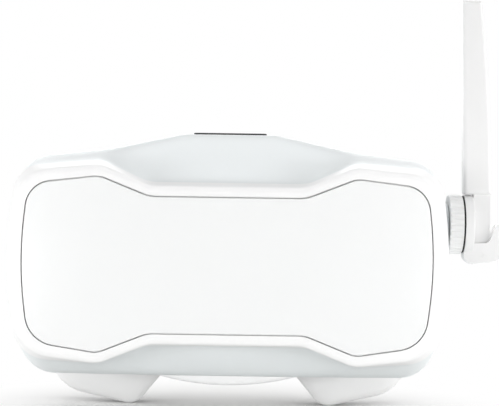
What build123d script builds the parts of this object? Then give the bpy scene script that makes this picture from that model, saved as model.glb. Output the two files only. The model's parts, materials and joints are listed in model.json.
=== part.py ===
"""FPV goggles with one folding antenna.

A box goggle: a crowned faceplate in a white front shell, a housing with a hump on top
and a battery door below, a face frame with cheek lobes and a cushion, and a display
that is seen through one lens. Millimetres.

Frame: +X to the antenna's side, +Y from the display to the wearer, +Z up. The origin is
the point between the wearer's eyes: on the optical axis, in the plane that the middle of
the face cushion touches. Left and right are those of somebody who stands in front of the
goggles: right is +X, which is the wearer's left.
"""
from build123d import *
import math
import os

# ------------------------------------------------------------------ driving sizes
# Depths along Y
front_y = -96.0              # the middle of the faceplate's outer face
front_shell_depth = 14.0     # front shell, from the faceplate to the parting line
scoop_depth = 22.0           # the housing grows from the waisted outline to the full one
ridge_depth = 18.0           # straight stretch of the housing behind the scoop
frame_y = -26.0              # front edge of the face frame
cheek_y = -10.0              # where the cheeks have reached their full height
crown_radius = 1200.0        # the front is slightly round about a vertical axis
face_radius = 228.0          # the rim that meets the face is round about a vertical axis

# Outline of the front, all symmetric about X = 0
body_half_width = 87.9
plate_half_width = body_half_width - 8.1
plate_lobe_top = 33.3
plate_lobe_bottom = -35.0
plate_waist_top = 25.6
plate_waist_bottom = -27.2
waist_half_width = 30.5      # the straight stretch of the waist
lobe_start = 50.0            # where the lobes reach their full height
front_rim = 4.2              # width of the white rim round the faceplate
rear_half_width = body_half_width - 3.2
hump_top = 51.7
hump_half_width = 19.0
floor_z = -46.9
side_bow = 1.0               # how far the sides' drawn corner stands outside the bowed side
side_radius = 150.0

# Walls and clearances
wall = 2.2
front_wall = 2.4
frame_wall = 2.4
plate_thickness = 2.4
plate_gap = 0.4              # the dark line round the faceplate
seam = 0.3                   # gap of a parting line
fit_gap = 0.15               # between pieces that are fitted by hand and stay
seat_gap = 0.1               # between a piece and the face that it sits on
run_gap = 0.05               # round a shaft that turns
slide_gap = 0.2              # round a key or a button
front_web = 2.5              # wall of the front shell behind the faceplate
edge_round = 2.4
plate_edge_round = 0.5
cutter_reach = 1.0           # a cutting shape stands this far outside what it cuts
far_reach = 400.0            # height of the round cutters, more than the goggles
tongue_length = 2.5          # lap of a parting line, inside the wall
tongue_thickness = 1.4
tongue_root = 3.0            # length by which a tongue is joined to its own shell
tongue_overlap = 0.4         # and how far it reaches into the wall there
scoop_steps = 6              # sections of the scoop behind the parting line
rear_steps = 4               # sections of the other lofts

# Fasteners
screw_radius = 1.0
screw_hole = 1.05
screw_way = 1.35
screw_head_radius = 2.1
screw_head_height = 1.4
head_round_share = 0.4       # of the head's height
recess_length_share = 1.2    # cross recess, as shares of the head's radius and height
recess_width_share = 0.28
recess_depth_share = 0.6
post_radius = 3.8
post_rib = 2.4               # rib between a post and the wall
rib_overlap = 0.6            # how far a case post's rib reaches into the wall
frame_rib_overlap = 1.0      # the same for a frame post's rib
post_bite = 6.0              # length of a case screw in its post
head_seat_depth = 10.0       # from the middle of the front to the case screws' heads
frame_post_length = 15.0
frame_rib_length = 12.0
frame_screw_length = 11.0
frame_screw_depth = 12.0
ring_screw_length = 5.4
board_screw_length = 8.0
key_screw_length = 4.0
case_post_x = body_half_width - 14.9
case_post_z = 23.5
frame_post_x = rear_half_width - 22.5
frame_post_z = 20.0
peg_radius = 1.5
peg_x = 54.0
peg_z = 17.0

# Display, board and optics
display_width = 105.5
display_height = 67.2
display_thickness = 3.4
tray_y = -70.0               # front of the display tray
tray_wall = 3.0
tray_web = 1.2
board_width = 104.0
board_height = 50.0
board_thickness = 1.6
board_y = -85.2              # rear face of the main board
board_post_x = 46.0
board_post_z = 19.0
lens_width = 92.0
lens_height = 52.0
lens_corner = 14.0
lens_thickness = 2.2
lens_overlap = 2.0           # how much of the lens's edge its seats cover
bulkhead = 2.2               # wall of the face frame that carries the lens
ring_border = 8.0            # the lens ring stands this far outside the lens
hood_wall = 1.4
hood_margin = 6.0            # the hood's rear end is this much larger than the lens
hood_corner = 4.0
ring_lip = 1.6               # the lens ring's thickness behind the lens
ring_chamfer = 1.0
ring_screw_inset = 4.2
ring_boss_radius = 2.8
ring_boss_length = 3.0
tray_corner = 3.0
tray_lip = 0.8               # the tray's rim stands this far past the display
tray_trim = 1.4              # the top and bottom walls together are thinner by this
hood_inset_x = 2.0           # the hood's front end inside the tray's outline
hood_inset_z = 1.5
ear_corner = 1.5
tray_flange = 2.0            # thickness of the ears that the case screws clamp
board_post_radius = 2.6
board_corner = 3.0
view_margin_x = 9.0          # the display's dark border, both sides together
view_margin_z = 12.0
view_shift = -2.0            # the lit area lies this far off the middle
view_recess = 0.3

# Keys on the hump
strip_width = 30.0
strip_depth = 14.0
strip_thickness = 1.6
strip_proud = 0.8            # how far the key strip stands above the hump
key_width = 7.6
key_depth = 8.6
key_pitch = 9.0
key_travel = 0.6
strip_corner = 1.9
key_post_outset = 1.4        # of the key board's posts from the strip's ends
key_board_margin = 3.0
key_board_corner = 1.0
key_corner = 0.9
key_edge_round = 0.35
strip_edge_round = 0.3
key_skirt_side = 0.55        # the skirt under the hump stands out this far at each side
key_skirt_end = 0.8          # and this far in front and behind
key_skirt_thickness = 0.7
key_foot_radius = 1.2
key_foot_height = 3.8        # of the key's foot above the board
key_board_thickness = 1.1
key_post_radius = 2.1
switch_side = 5.0
switch_height = 1.6
plunger_radius = 1.5
key_y = -51.0
key_board_z = 44.5

# Port panel in the left wall
panel_x = 0.9 - body_half_width          # outer face
panel_y = -46.5
panel_z = -3.0
panel_depth = 20.0
panel_height = 34.0
panel_thickness = 4.3
port_board_y = -45.8         # rear face of the board that carries the sockets
power_z = 6.5
power_radius = 4.2
power_y = port_board_y + 4.05
power_travel = 0.5
panel_corner = 1.5
panel_edge_round = 0.4
panel_lip = 1.5              # the panel's flange inside the wall, past its front at each end
panel_flange = 1.2
button_proud = 0.9
button_edge_round = 0.5
button_flange_side = 0.9
button_flange = 0.8
button_foot = 1.2
plunger_length = 0.8
switch_cube = 6.0
switch_depth = 3.6
av_z = -11.0
av_bore = 1.8
usb_z = 5.0
card_z = -9.5

# Battery and its door
battery_width = 52.0
battery_depth = 27.0
battery_height = 8.4
door_half_width = 28.8
door_front_y = -60.0
door_rear_y = -28.6          # axis of the door's hinge
door_belly = 3.9
door_wall = 1.6
door_pin_radius = 0.75
door_knuckle_radius = 1.35
door_lug_inset = 3.5         # of the hinge lugs from the door's ends
door_lug_width = 2.6
door_lug_root = 1.9          # how far a lug reaches into the floor
door_lug_room = 4.4          # length of the door's notch round a lug
door_lip = 1.7               # the door's front reaches this far past the bay
door_heel = 1.0              # the door's plate ends this far before the hinge's axis
door_knuckle_room = 3.0      # solid stretch between the hollow and the knuckle
door_pin_inset = 0.9
snap_inset = 1.1
door_edge_round = 1.6
snap_width = 9.0
snap_thickness = 1.2
battery_play_depth = 0.3
battery_play_width = 0.5
battery_corner = 2.0
battery_round = 1.2
pin_grip = 0.01              # round a pin in the lugs that hold it

# Antenna, about an axis along X through the right wall
antenna_y = -68.0
antenna_z = 16.5
boss_x = body_half_width + 0.1           # seat of the jack's washer
boss_depth = 3.6
boss_radius = 8.0
jack_flange_radius = 5.0
jack_flange = 2.0
jack_reach = 5.4             # of the jack past its boss
jack_chamfer = 0.3
flange_room = 0.8            # round the jack's flange in its seat
flange_recess = 4.0
jack_tail_radius = 2.0
jack_tail = 3.0
jack_bore_radius = 2.0
jack_bore_depth = 4.0
washer_radius = 5.4
washer_thickness = 0.4
nut_flats = 8.0
nut_thickness = 1.9
thread_radius = 3.175        # quarter-inch coaxial jack
collar_radius = 11.9
collar_start = boss_x + 0.3
collar_end = collar_start + 5.5
collar_ribs = 30
collar_chamfer = 0.4
rib_groove_radius = 0.8
rib_groove_out = 0.45        # the grooves' centres lie this far outside the collar
nut_room_radius = 5.9
hub_length = 2.1
seal_margin = 1.0            # of the seal's bore round the hub
web_round = 0.6
seal_thickness = 0.65
knuckle_start = collar_end + seal_thickness + run_gap
knuckle_web = 3.6
knuckle_end = knuckle_start + 14.9
hub_radius = 5.0
fold_x = knuckle_start + 6.9             # axis of the folding hinge
fold_z = antenna_z - 12.0
tang_half_width = 2.95
tang_thickness = 4.8
tang_eye = 4.0               # height of the tang's round end over the axis
tang_step = 0.8              # the tang is this much wider over its round end
fork_cheek = 2.2
fork_arm = 16.0
fork_floor = 0.95            # below the tang
fork_throat = 8.5            # height of the fork's floor beyond the tang
heel_radius = 4.0
fold_pin_radius = 1.0
mast_left = knuckle_start - 0.1
mast_lean = 1.4              # its left edge leans this far towards the body
mast_width = 11.0
mast_middle_width = 9.6
mast_tip_width = 6.4
mast_thickness = 9.0
mast_tip_thickness = 6.6
mast_gap = 0.15              # between the disc and the upright mast
mast_length = 78.15
mast_bottom = antenna_z + collar_radius + mast_gap
mast_top = mast_bottom + mast_length
mast_foot_round = 1.2
mast_tip_round = 3.3
mast_edge_round = 1.5
element_offset = 5.8         # of the copper rod from the mast's left edge
element_radius = 0.9
element_inset = 8.0          # from the fold axis and from the mast's tip
coax_radius = 0.8
coax_bend = 4.0

# Face side
cushion_thickness = 12.6
backing_thickness = 1.2
rim_flange = 2.2
strap_slot = 4.4
strap_slot_length = 33.0
strap_bar = 2.1
lug_thickness = 2.6
side_lug_y = -10.4
top_lug_y = -16.0
strap_slot_outset = 3.8
top_slot_drop = 2.8
lug_corner = 1.1
slot_corner = 1.2
lug_root = 2.5               # how far a side lug reaches into the wall
top_lug_drop = 1.4           # the top lug is lower than its slot's middle by this
vent_width = 2.0
side_vent_length = 18.0
side_vent_pitch = 4.4
top_vent_length = 6.5
top_vent_pitch = 5.0
top_vent_x = 44.0
top_vent_y = -20.0
top_vent_depth = 14.0
vent_count = 5
cheek_end_y = 12.0           # the face frame's walls are drawn up to here and then cut
pad_inset = 1.2              # the pad is this much smaller than the rim
pad_reach = 8.0
nose_half_width = 34.0
nose_bottom = -46.0
flap_thickness = 1.2
flap_out = 4.5               # the flap's width outside and inside the nose edge
flap_in = 4.2

# ------------------------------------------------------------------ derived places
parting_y = front_y + front_shell_depth
ridge_y = parting_y + scoop_depth
crest_y = ridge_y + ridge_depth
housing_end_y = frame_y - seam
side_x = body_half_width + side_bow
rear_side_x = rear_half_width + side_bow
web_inner = plate_thickness + seat_gap + front_web
pad_thickness = backing_thickness + cushion_thickness
brow_y = -pad_thickness - seat_gap * 2

# ------------------------------------------------------------------ outlines
# Right half of each closed outline, clockwise from the top: x, z and corner radius.
plate_outline = [
    (waist_half_width, plate_waist_top, 14),
    (lobe_start, plate_lobe_top, 9),
    (plate_half_width - 2.2, plate_lobe_top - 3.2, 10.5),
    (plate_half_width + side_bow, 0, side_radius),
    (plate_half_width - 3.0, plate_lobe_bottom + 4.0, 12.5),
    (lobe_start, plate_lobe_bottom, 9),
    (waist_half_width, plate_waist_bottom, 14),
]
parting_outline = [
    (waist_half_width + 1, plate_waist_top + 6.0, 16),
    (lobe_start + 0.5, plate_lobe_top + 6.8, 12),
    (side_x - 4.8, plate_lobe_top + 3.8, 12),
    (side_x, 0, side_radius),
    (side_x - 5.8, plate_lobe_bottom - 3.5, 15),
    (lobe_start + 1, plate_lobe_bottom - 5.5, 12),
    (waist_half_width + 1, plate_waist_bottom - 5.8, 16),
]
ridge_outline = [
    (hump_half_width, hump_top, 30),
    (lobe_start, hump_top - 6.5, 30),
    (side_x - 5.2, hump_top - 10.5, 13),
    (side_x, 0, side_radius),
    (side_x - 6.6, floor_z + 0.4, 14),
    (lobe_start, floor_z + 0.1, 30),
    (waist_half_width, floor_z, 30),
]
rear_outline = [
    (hump_half_width + 5, hump_top - 2.7, 30),
    (lobe_start, hump_top - 8.2, 30),
    (rear_side_x - 5.5, hump_top - 12.2, 14),
    (rear_side_x, 0, side_radius),
    (rear_side_x - 6.0, floor_z + 2.9, 16),
    (lobe_start, floor_z + 1.5, 30),
    (waist_half_width, floor_z + 1.0, 30),
]
# The face frame has one corner more, for the nose.
frame_outline = rear_outline[:5] + [
    (lobe_start, floor_z + 0.7, 12),
    (31, floor_z + 1.7, 8),
    (14, -36, 8),
]
cheek_outline = [
    (26, 44.5, 30),
    (52, 42.0, 30),
    (rear_side_x - 6.5, 37.5, 14),
    (rear_side_x - 0.5, 0, side_radius),
    (rear_side_x - 9.0, -57.4, 18),
    (40.5, -65.6, 9),
    (28.3, -50.6, 14),
    (9, -14, 8),
]
eye_outline = [
    (24, 34.5, 30),
    (50, 32.5, 20),
    (rear_half_width - 14.5, 27.0, 14),
    (rear_half_width - 9.5, 0, 85),
    (rear_half_width - 17.5, -43.0, 14),
    (47, -51.0, 9),
    (36.5, -43.0, 10),
    (13.5, -6.5, 8),
]


def whole(half):
    """The closed outline, from its right half."""
    return list(half) + [(-x, z, radius) for x, z, radius in reversed(half)]


def mitred(half, inset):
    """The closed outline with each side moved inward by inset; a negative one grows it."""
    corners = whole(half)
    moved = []
    for i, (x, z, radius) in enumerate(corners):
        before = corners[i - 1]
        after = corners[(i + 1) % len(corners)]
        arrive = Vector(x - before[0], z - before[1]).normalized()
        leave = Vector(after[0] - x, after[1] - z).normalized()
        normal_in = Vector(arrive.Y, -arrive.X)
        normal_out = Vector(leave.Y, -leave.X)
        miter = (normal_in + normal_out) / (1 + normal_in.dot(normal_out))
        turns_right = arrive.X * leave.Y - arrive.Y * leave.X < 0
        grown = radius - inset if turns_right else radius + inset
        moved.append((x + inset * miter.X, z + inset * miter.Y, grown))
    return moved


def eased(first, last, share):
    """An outline part of the way from first to last, slow at both ends."""
    s = (1 - math.cos(math.pi * share)) / 2
    return [tuple(p + (q - p) * s for p, q in zip(a, b)) for a, b in zip(first, last)]


def across(y):
    """The plane across the goggles at depth y, with X to the right and Z up."""
    return Plane.XZ.offset(-y)


def section(y, corners):
    """A closed outline with rounded corners, as a face at depth y."""
    with BuildSketch(across(y)) as drawn:
        with BuildLine():
            FilletPolyline(
                *[(x, z) for x, z, radius in corners],
                radius=[radius for x, z, radius in corners],
                close=True,
            )
        make_face()
    return drawn.sketch


def between(first_y, first, last_y, last, inset, steps):
    """Sections that ease from one outline to another."""
    shares = [i / steps for i in range(steps + 1)]
    return [
        section(first_y + (last_y - first_y) * s, mitred(eased(first, last, s), inset))
        for s in shares
    ]


def crown_drop(x):
    """How far the crowned front has fallen back at x."""
    return crown_radius - math.sqrt(crown_radius**2 - x**2)


def crowned(depth):
    """Everything that lies at least depth behind the crowned front."""
    place = Pos(0, front_y + crown_radius, 0)
    return place * Cylinder(crown_radius - depth, far_reach, mode=Mode.PRIVATE)


def beyond_rim(distance):
    """Everything on the wearer's side of the rim, moved by distance towards the wearer."""
    place = Pos(0, brow_y + face_radius, 0)
    return place * Cylinder(face_radius - distance, far_reach, mode=Mode.PRIVATE)


def corners4(x, z):
    """The four corner places of a symmetric pattern."""
    return [(x, z), (-x, z), (x, -z), (-x, -z)]


def screw(length):
    """A cross-head screw along +Z with its head's seat at 0 and its head above."""
    with BuildPart() as made:
        with BuildSketch():
            Circle(screw_radius)
        extrude(amount=-length)
        with BuildSketch():
            Circle(screw_head_radius)
        extrude(amount=screw_head_height)
        fillet(made.faces().sort_by(Axis.Z)[-1].edges(), screw_head_height * head_round_share)
        with BuildSketch(Plane.XY.offset(screw_head_height)):
            Rectangle(screw_head_radius * recess_length_share, screw_head_radius * recess_width_share)
            Rectangle(screw_head_radius * recess_width_share, screw_head_radius * recess_length_share)
        extrude(amount=-screw_head_height * recess_depth_share, mode=Mode.SUBTRACT)
    return made.part


to_front = (90, 0, 0)        # turns a screw so that its head faces the front
to_rear = (-90, 0, 0)        # turns a screw so that its head faces the wearer

inner_y = frame_y + bulkhead


def frame_room(inset):
    """The space inside the face frame's side walls, from the bulkhead to past the rim."""
    with BuildPart() as made:
        loft(between(frame_y, frame_outline, cheek_y, cheek_outline, inset, rear_steps))
        extrude(
            section(cheek_end_y, mitred(cheek_outline, inset)), amount=cheek_end_y - cheek_y
        )
        with BuildSketch(across(inner_y)):
            Rectangle(4 * body_half_width, 4 * body_half_width)
        extrude(amount=2 * bulkhead, mode=Mode.SUBTRACT)
    return made.part


# ------------------------------------------------------------------ faceplate
with BuildPart() as faceplate:
    extrude(section(frame_y, whole(plate_outline)), amount=frame_y - front_y + cutter_reach)
    add(crowned(0), mode=Mode.INTERSECT)
    add(crowned(plate_thickness), mode=Mode.SUBTRACT)
    plate_edges = faceplate.faces().sort_by(Axis.Y)[0].edges()
    fillet(plate_edges, plate_edge_round)
    peg_places = [(peg_x, 0), (-peg_x, 0), (0, peg_z), (0, -peg_z)]
    with BuildSketch(across(front_y + web_inner)):
        with Locations(*peg_places):
            Circle(peg_radius)
    extrude(amount=front_web + cutter_reach)

# ------------------------------------------------------------------ front shell
with BuildPart() as plate_pocket:
    extrude(section(frame_y, mitred(plate_outline, -plate_gap)), amount=frame_y - front_y + 10 * cutter_reach)
    add(crowned(plate_thickness + seat_gap), mode=Mode.SUBTRACT)

with BuildPart() as shell_cavity:
    shell_front = mitred(plate_outline, front_wall - front_rim)
    loft([section(front_y, shell_front), section(parting_y, mitred(parting_outline, front_wall))])
    add(crowned(web_inner), mode=Mode.INTERSECT)

tube_end_y = tray_y - seat_gap * 2
tube_front_y = front_y + crown_drop(case_post_x) + web_inner - front_web / 2
head_seat_y = front_y + head_seat_depth
with BuildPart() as front_shell:
    loft([
        section(front_y, mitred(plate_outline, -front_rim)),
        section(parting_y, whole(parting_outline)),
    ])
    add(crowned(0), mode=Mode.INTERSECT)
    fillet(front_shell.faces().sort_by(Axis.Y)[0].edges(), edge_round)
    add(shell_cavity.part, mode=Mode.SUBTRACT)
    add(plate_pocket.part, mode=Mode.SUBTRACT)
    # the tongue that centres the housing
    extrude(section(parting_y, mitred(parting_outline, front_wall - tongue_overlap)), amount=tongue_root)
    extrude(section(parting_y, mitred(parting_outline, front_wall + fit_gap)), amount=-tongue_length)
    tongue_hole = mitred(parting_outline, front_wall + fit_gap + tongue_thickness)
    extrude(
        section(parting_y + tongue_length, tongue_hole),
        amount=tongue_length + tongue_root,
        mode=Mode.SUBTRACT,
    )
    # tubes for the case screws
    with BuildSketch(across(tube_end_y)):
        with Locations(*corners4(case_post_x, case_post_z)):
            Circle(post_radius)
    extrude(amount=tube_end_y - tube_front_y)
    with BuildSketch(across(tube_end_y)):
        with Locations(*corners4(case_post_x, case_post_z)):
            Circle(screw_way)
    extrude(amount=tube_end_y - front_y + cutter_reach, mode=Mode.SUBTRACT)
    with BuildSketch(across(head_seat_y)):
        with Locations(*corners4(case_post_x, case_post_z)):
            Circle(screw_head_radius + slide_gap)
    extrude(amount=head_seat_y - front_y + cutter_reach, mode=Mode.SUBTRACT)
    with BuildSketch(across(parting_y)):
        with Locations(*peg_places):
            Circle(peg_radius + seat_gap)
    extrude(amount=parting_y - front_y + cutter_reach, mode=Mode.SUBTRACT)

# ------------------------------------------------------------------ housing
housing_start_y = parting_y + seam
post_front_y = tray_y + tray_flange + seat_gap * 2
strip_floor_z = hump_top + strip_proud - strip_thickness
door_lug_x = door_half_width - door_lug_inset
hinge_z = floor_z - door_knuckle_radius - seat_gap
lug_top_z = floor_z + door_lug_root
bay_front_y = door_front_y + door_lip
bay_rear_y = bay_front_y + battery_depth + 2 * battery_play_depth
key_post_x = strip_width / 2 + key_post_outset
side_vent_z = panel_z - 8.0
with BuildPart() as main_housing:
    loft(between(housing_start_y, parting_outline, ridge_y, ridge_outline, 0, scoop_steps))
    extrude(section(crest_y, whole(ridge_outline)), amount=ridge_depth)
    loft(between(crest_y, ridge_outline, housing_end_y, rear_outline, 0, rear_steps))
    loft(
        between(housing_start_y, parting_outline, ridge_y, ridge_outline, wall, scoop_steps),
        mode=Mode.SUBTRACT,
    )
    extrude(section(crest_y, mitred(ridge_outline, wall)), amount=ridge_depth, mode=Mode.SUBTRACT)
    loft(
        between(crest_y, ridge_outline, housing_end_y, rear_outline, wall, rear_steps),
        mode=Mode.SUBTRACT,
    )
    # posts for the case screws, each with a rib to the side wall
    with BuildSketch(across(ridge_y)):
        with Locations(*corners4(case_post_x, case_post_z)):
            Circle(post_radius)
        rib_x = (case_post_x + body_half_width - wall) / 2
        with Locations(*corners4(rib_x, case_post_z)):
            Rectangle(body_half_width - wall - case_post_x + rib_overlap, post_rib)
    extrude(amount=ridge_y - post_front_y)
    with BuildSketch(across(ridge_y - cutter_reach)):
        with Locations(*corners4(case_post_x, case_post_z)):
            Circle(screw_hole)
    extrude(amount=ridge_y - post_front_y, mode=Mode.SUBTRACT)
    # posts for the face frame's screws
    with BuildSketch(across(housing_end_y)):
        with Locations(*corners4(frame_post_x, frame_post_z)):
            Circle(post_radius)
    extrude(amount=frame_post_length)
    with BuildSketch(across(housing_end_y - frame_post_length + frame_rib_length)):
        rear_rib_x = (frame_post_x + rear_half_width - wall) / 2
        with Locations(*corners4(rear_rib_x, frame_post_z)):
            Rectangle(rear_half_width - wall - frame_post_x + frame_rib_overlap, post_rib)
    extrude(amount=frame_rib_length)
    with BuildSketch(across(housing_end_y)):
        with Locations(*corners4(frame_post_x, frame_post_z)):
            Circle(screw_hole)
    extrude(amount=frame_screw_depth, mode=Mode.SUBTRACT)
    # seat of the key strip, the keys' holes and the posts of the key board
    with BuildSketch(Plane.XY.offset(strip_floor_z)):
        with Locations((0, key_y)):
            RectangleRounded(
                strip_width + 2 * fit_gap, strip_depth + 2 * fit_gap, strip_corner + fit_gap
            )
    extrude(amount=2 * wall, mode=Mode.SUBTRACT)
    with BuildSketch(Plane.XY.offset(hump_top)):
        with Locations((0, key_y)):
            with GridLocations(key_pitch, 0, 3, 1):
                RectangleRounded(
                    key_width + 2 * slide_gap, key_depth + 2 * slide_gap, key_corner + slide_gap
                )
    extrude(amount=-2 * wall, mode=Mode.SUBTRACT)
    key_post_foot_z = key_board_z + key_board_thickness + seat_gap
    with BuildSketch(Plane.XY.offset(key_post_foot_z)):
        with Locations((key_post_x, key_y), (-key_post_x, key_y)):
            Circle(key_post_radius)
    extrude(amount=hump_top - wall / 2 - key_post_foot_z)
    with BuildSketch(Plane.XY.offset(key_board_z)):
        with Locations((key_post_x, key_y), (-key_post_x, key_y)):
            Circle(screw_hole)
    extrude(amount=key_screw_length + cutter_reach, mode=Mode.SUBTRACT)
    # opening of the port panel
    with BuildSketch(Plane.YZ.offset(-body_half_width - 2 * cutter_reach)):
        with Locations((panel_y, panel_z)):
            Rectangle(panel_depth + 2 * slide_gap, panel_height + 2 * slide_gap)
    extrude(amount=2 * wall + 4 * cutter_reach, mode=Mode.SUBTRACT)
    # boss and hole of the antenna jack
    with BuildSketch(Plane.YZ.offset(boss_x)):
        with Locations((antenna_y, antenna_z)):
            Circle(boss_radius)
    extrude(amount=-boss_depth)
    with BuildSketch(Plane.YZ.offset(boss_x)):
        with Locations((antenna_y, antenna_z)):
            Circle(thread_radius + run_gap)
    extrude(amount=-boss_depth - wall, mode=Mode.SUBTRACT)
    with BuildSketch(Plane.YZ.offset(boss_x - boss_depth)):
        with Locations((antenna_y, antenna_z)):
            Circle(jack_flange_radius + flange_room)
    extrude(amount=-flange_recess, mode=Mode.SUBTRACT)
    # opening of the battery bay
    with BuildSketch(Plane.XY.offset(floor_z - cutter_reach)):
        with Locations((0, (bay_front_y + bay_rear_y) / 2)):
            Rectangle(battery_width + 2 * battery_play_width, bay_rear_y - bay_front_y)
    extrude(amount=wall + 3 * cutter_reach, mode=Mode.SUBTRACT)
    # lugs of the door's hinge
    with BuildSketch(Plane.YZ.offset(door_lug_x)):
        with Locations((door_rear_y, hinge_z)):
            Circle(door_knuckle_radius)
        with Locations((door_rear_y, (hinge_z + lug_top_z) / 2)):
            Rectangle(2 * door_knuckle_radius, lug_top_z - hinge_z)
    extrude(amount=door_lug_width)
    with BuildSketch(Plane.YZ.offset(-door_lug_x)):
        with Locations((door_rear_y, hinge_z)):
            Circle(door_knuckle_radius)
        with Locations((door_rear_y, (hinge_z + lug_top_z) / 2)):
            Rectangle(2 * door_knuckle_radius, lug_top_z - hinge_z)
    extrude(amount=-door_lug_width)
    with BuildSketch(Plane.YZ.offset(-door_half_width)):
        with Locations((door_rear_y, hinge_z)):
            Circle(door_pin_radius + pin_grip)
    extrude(amount=2 * door_half_width, mode=Mode.SUBTRACT)
    # cooling slots in the right wall
    with BuildSketch(Plane.YZ.offset(body_half_width + 2 * cutter_reach)):
        with Locations((panel_y, side_vent_z)):
            with GridLocations(side_vent_pitch, 0, vent_count, 1):
                SlotOverall(side_vent_length, vent_width, rotation=90)
    extrude(amount=-2 * wall - 4 * cutter_reach, mode=Mode.SUBTRACT)

# ------------------------------------------------------------------ key strip and keys
with BuildPart() as key_strip:
    with BuildSketch(Plane.XY.offset(strip_floor_z)):
        with Locations((0, key_y)):
            RectangleRounded(strip_width, strip_depth, strip_corner)
            with GridLocations(key_pitch, 0, 3, 1):
                RectangleRounded(
                    key_width + 2 * slide_gap,
                    key_depth + 2 * slide_gap,
                    key_corner + slide_gap,
                    mode=Mode.SUBTRACT,
                )
    extrude(amount=strip_thickness)
    fillet(key_strip.faces().sort_by(Axis.Z)[-1].outer_wire().edges(), strip_edge_round)

key_skirt_z = hump_top - wall - key_skirt_thickness - slide_gap
key_foot_z = key_board_z + key_foot_height


def key(x):
    """A key cap with a skirt under the hump and a foot over its switch."""
    with BuildPart() as made:
        with BuildSketch(Plane.XY.offset(key_skirt_z)):
            with Locations((x, key_y)):
                RectangleRounded(key_width, key_depth, key_corner)
        extrude(amount=hump_top + strip_proud - key_skirt_z)
        fillet(made.faces().sort_by(Axis.Z)[-1].edges(), key_edge_round)
        with BuildSketch(Plane.XY.offset(key_skirt_z)):
            with Locations((x, key_y)):
                RectangleRounded(
                    key_width + 2 * key_skirt_side, key_depth + 2 * key_skirt_end, key_corner
                )
        extrude(amount=key_skirt_thickness)
        with BuildSketch(Plane.XY.offset(key_foot_z)):
            with Locations((x, key_y)):
                Circle(key_foot_radius)
        extrude(amount=key_skirt_z - key_foot_z)
    return made


channel_down_key = key(-key_pitch)
scan_key = key(0)
channel_up_key = key(key_pitch)

with BuildPart() as key_board:
    with BuildSketch(Plane.XY.offset(key_board_z)):
        with Locations((0, key_y)):
            RectangleRounded(2 * (key_post_x + key_board_margin), strip_depth, key_board_corner)
        with Locations((key_post_x, key_y), (-key_post_x, key_y)):
            Circle(screw_way, mode=Mode.SUBTRACT)
    extrude(amount=key_board_thickness)

with BuildPart() as key_switches:
    switch_foot_z = key_board_z + key_board_thickness
    with BuildSketch(Plane.XY.offset(switch_foot_z)):
        with Locations((0, key_y)):
            with GridLocations(key_pitch, 0, 3, 1):
                Rectangle(switch_side, switch_side)
    extrude(amount=switch_height)
    with BuildSketch(Plane.XY.offset(switch_foot_z + switch_height)):
        with Locations((0, key_y)):
            with GridLocations(key_pitch, 0, 3, 1):
                Circle(plunger_radius)
    extrude(amount=key_foot_z - switch_foot_z - switch_height - key_travel - seat_gap)

with BuildPart() as key_board_screws:
    with Locations(
        Location((key_post_x, key_y, key_board_z), (180, 0, 0)),
        Location((-key_post_x, key_y, key_board_z), (180, 0, 0)),
    ):
        add(screw(key_screw_length))

# ------------------------------------------------------------------ port panel
port_board_thickness = 1.2
mouth_x = panel_x + 0.2
front_sockets_y = port_board_y - port_board_thickness
rear_column_y = port_board_y + 3.3
usb_thickness = 3.2
usb_width = 9.0
usb_length = 7.3
card_thickness = 1.6
card_width = 12.0
card_length = 15.0
av_length = 14.0
av_collar_radius = 2.9
light_y = panel_y - panel_depth / 2 + 2.6
light_radius = 0.9
light_length = 9.0
port_board_x = panel_x + 14.0            # middle of the board that carries the sockets
port_board_width = 17.0
button_notch_x = panel_x + 5.5
button_notch_width = 4.0
button_notch_height = 2 * (power_radius + button_flange_side + seam)
behind_panel_x = panel_x + panel_thickness + panel_flange + slide_gap
av_case_width = 6.4
av_case_height = 6.6
av_back_wall = 1.5
sheet_metal = 0.3            # wall of the two folded sockets
usb_back_wall = 1.2
usb_tongue_start = 0.8
usb_tongue_thickness = 0.7
usb_tongue_width = 6.7
card_side_wall = 0.45
card_back_wall = 0.5
with BuildPart() as port_panel:
    with BuildSketch(Plane.YZ.offset(panel_x)):
        with Locations((panel_y, panel_z)):
            RectangleRounded(panel_depth, panel_height, panel_corner)
    extrude(amount=panel_thickness)
    fillet(port_panel.faces().sort_by(Axis.X)[0].edges(), panel_edge_round)
    with BuildSketch(Plane.YZ.offset(panel_x + panel_thickness)):
        with Locations((panel_y, panel_z)):
            RectangleRounded(panel_depth + 2 * panel_lip, panel_height - 2 * panel_lip, panel_corner)
    extrude(amount=panel_flange)
    with BuildSketch(Plane.YZ.offset(panel_x)):
        with Locations((power_y, power_z)):
            Circle(power_radius + slide_gap)
        with Locations((rear_column_y, av_z)):
            Circle(av_collar_radius + fit_gap)
        with Locations((front_sockets_y - usb_thickness / 2, usb_z)):
            SlotOverall(usb_width + 2 * fit_gap, usb_thickness + 2 * fit_gap, rotation=90)
        with Locations((front_sockets_y - card_thickness / 2, card_z)):
            Rectangle(card_thickness + 2 * fit_gap, card_width + 2 * fit_gap)
        with Locations((light_y, power_z)):
            Circle(light_radius + seat_gap)
    extrude(amount=panel_thickness + 2 * cutter_reach, mode=Mode.SUBTRACT)

with BuildPart() as power_button:
    with BuildSketch(Plane.YZ.offset(panel_x - button_proud)):
        with Locations((power_y, power_z)):
            Circle(power_radius)
    extrude(amount=behind_panel_x - panel_x + button_proud)
    fillet(power_button.faces().sort_by(Axis.X)[0].edges(), button_edge_round)
    with BuildSketch(Plane.YZ.offset(behind_panel_x)):
        with Locations((power_y, power_z)):
            Circle(power_radius + button_flange_side)
    extrude(amount=button_flange)
    with BuildSketch(Plane.YZ.offset(behind_panel_x + button_flange)):
        with Locations((power_y, power_z)):
            Circle(key_foot_radius)
    extrude(amount=button_foot)

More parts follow.
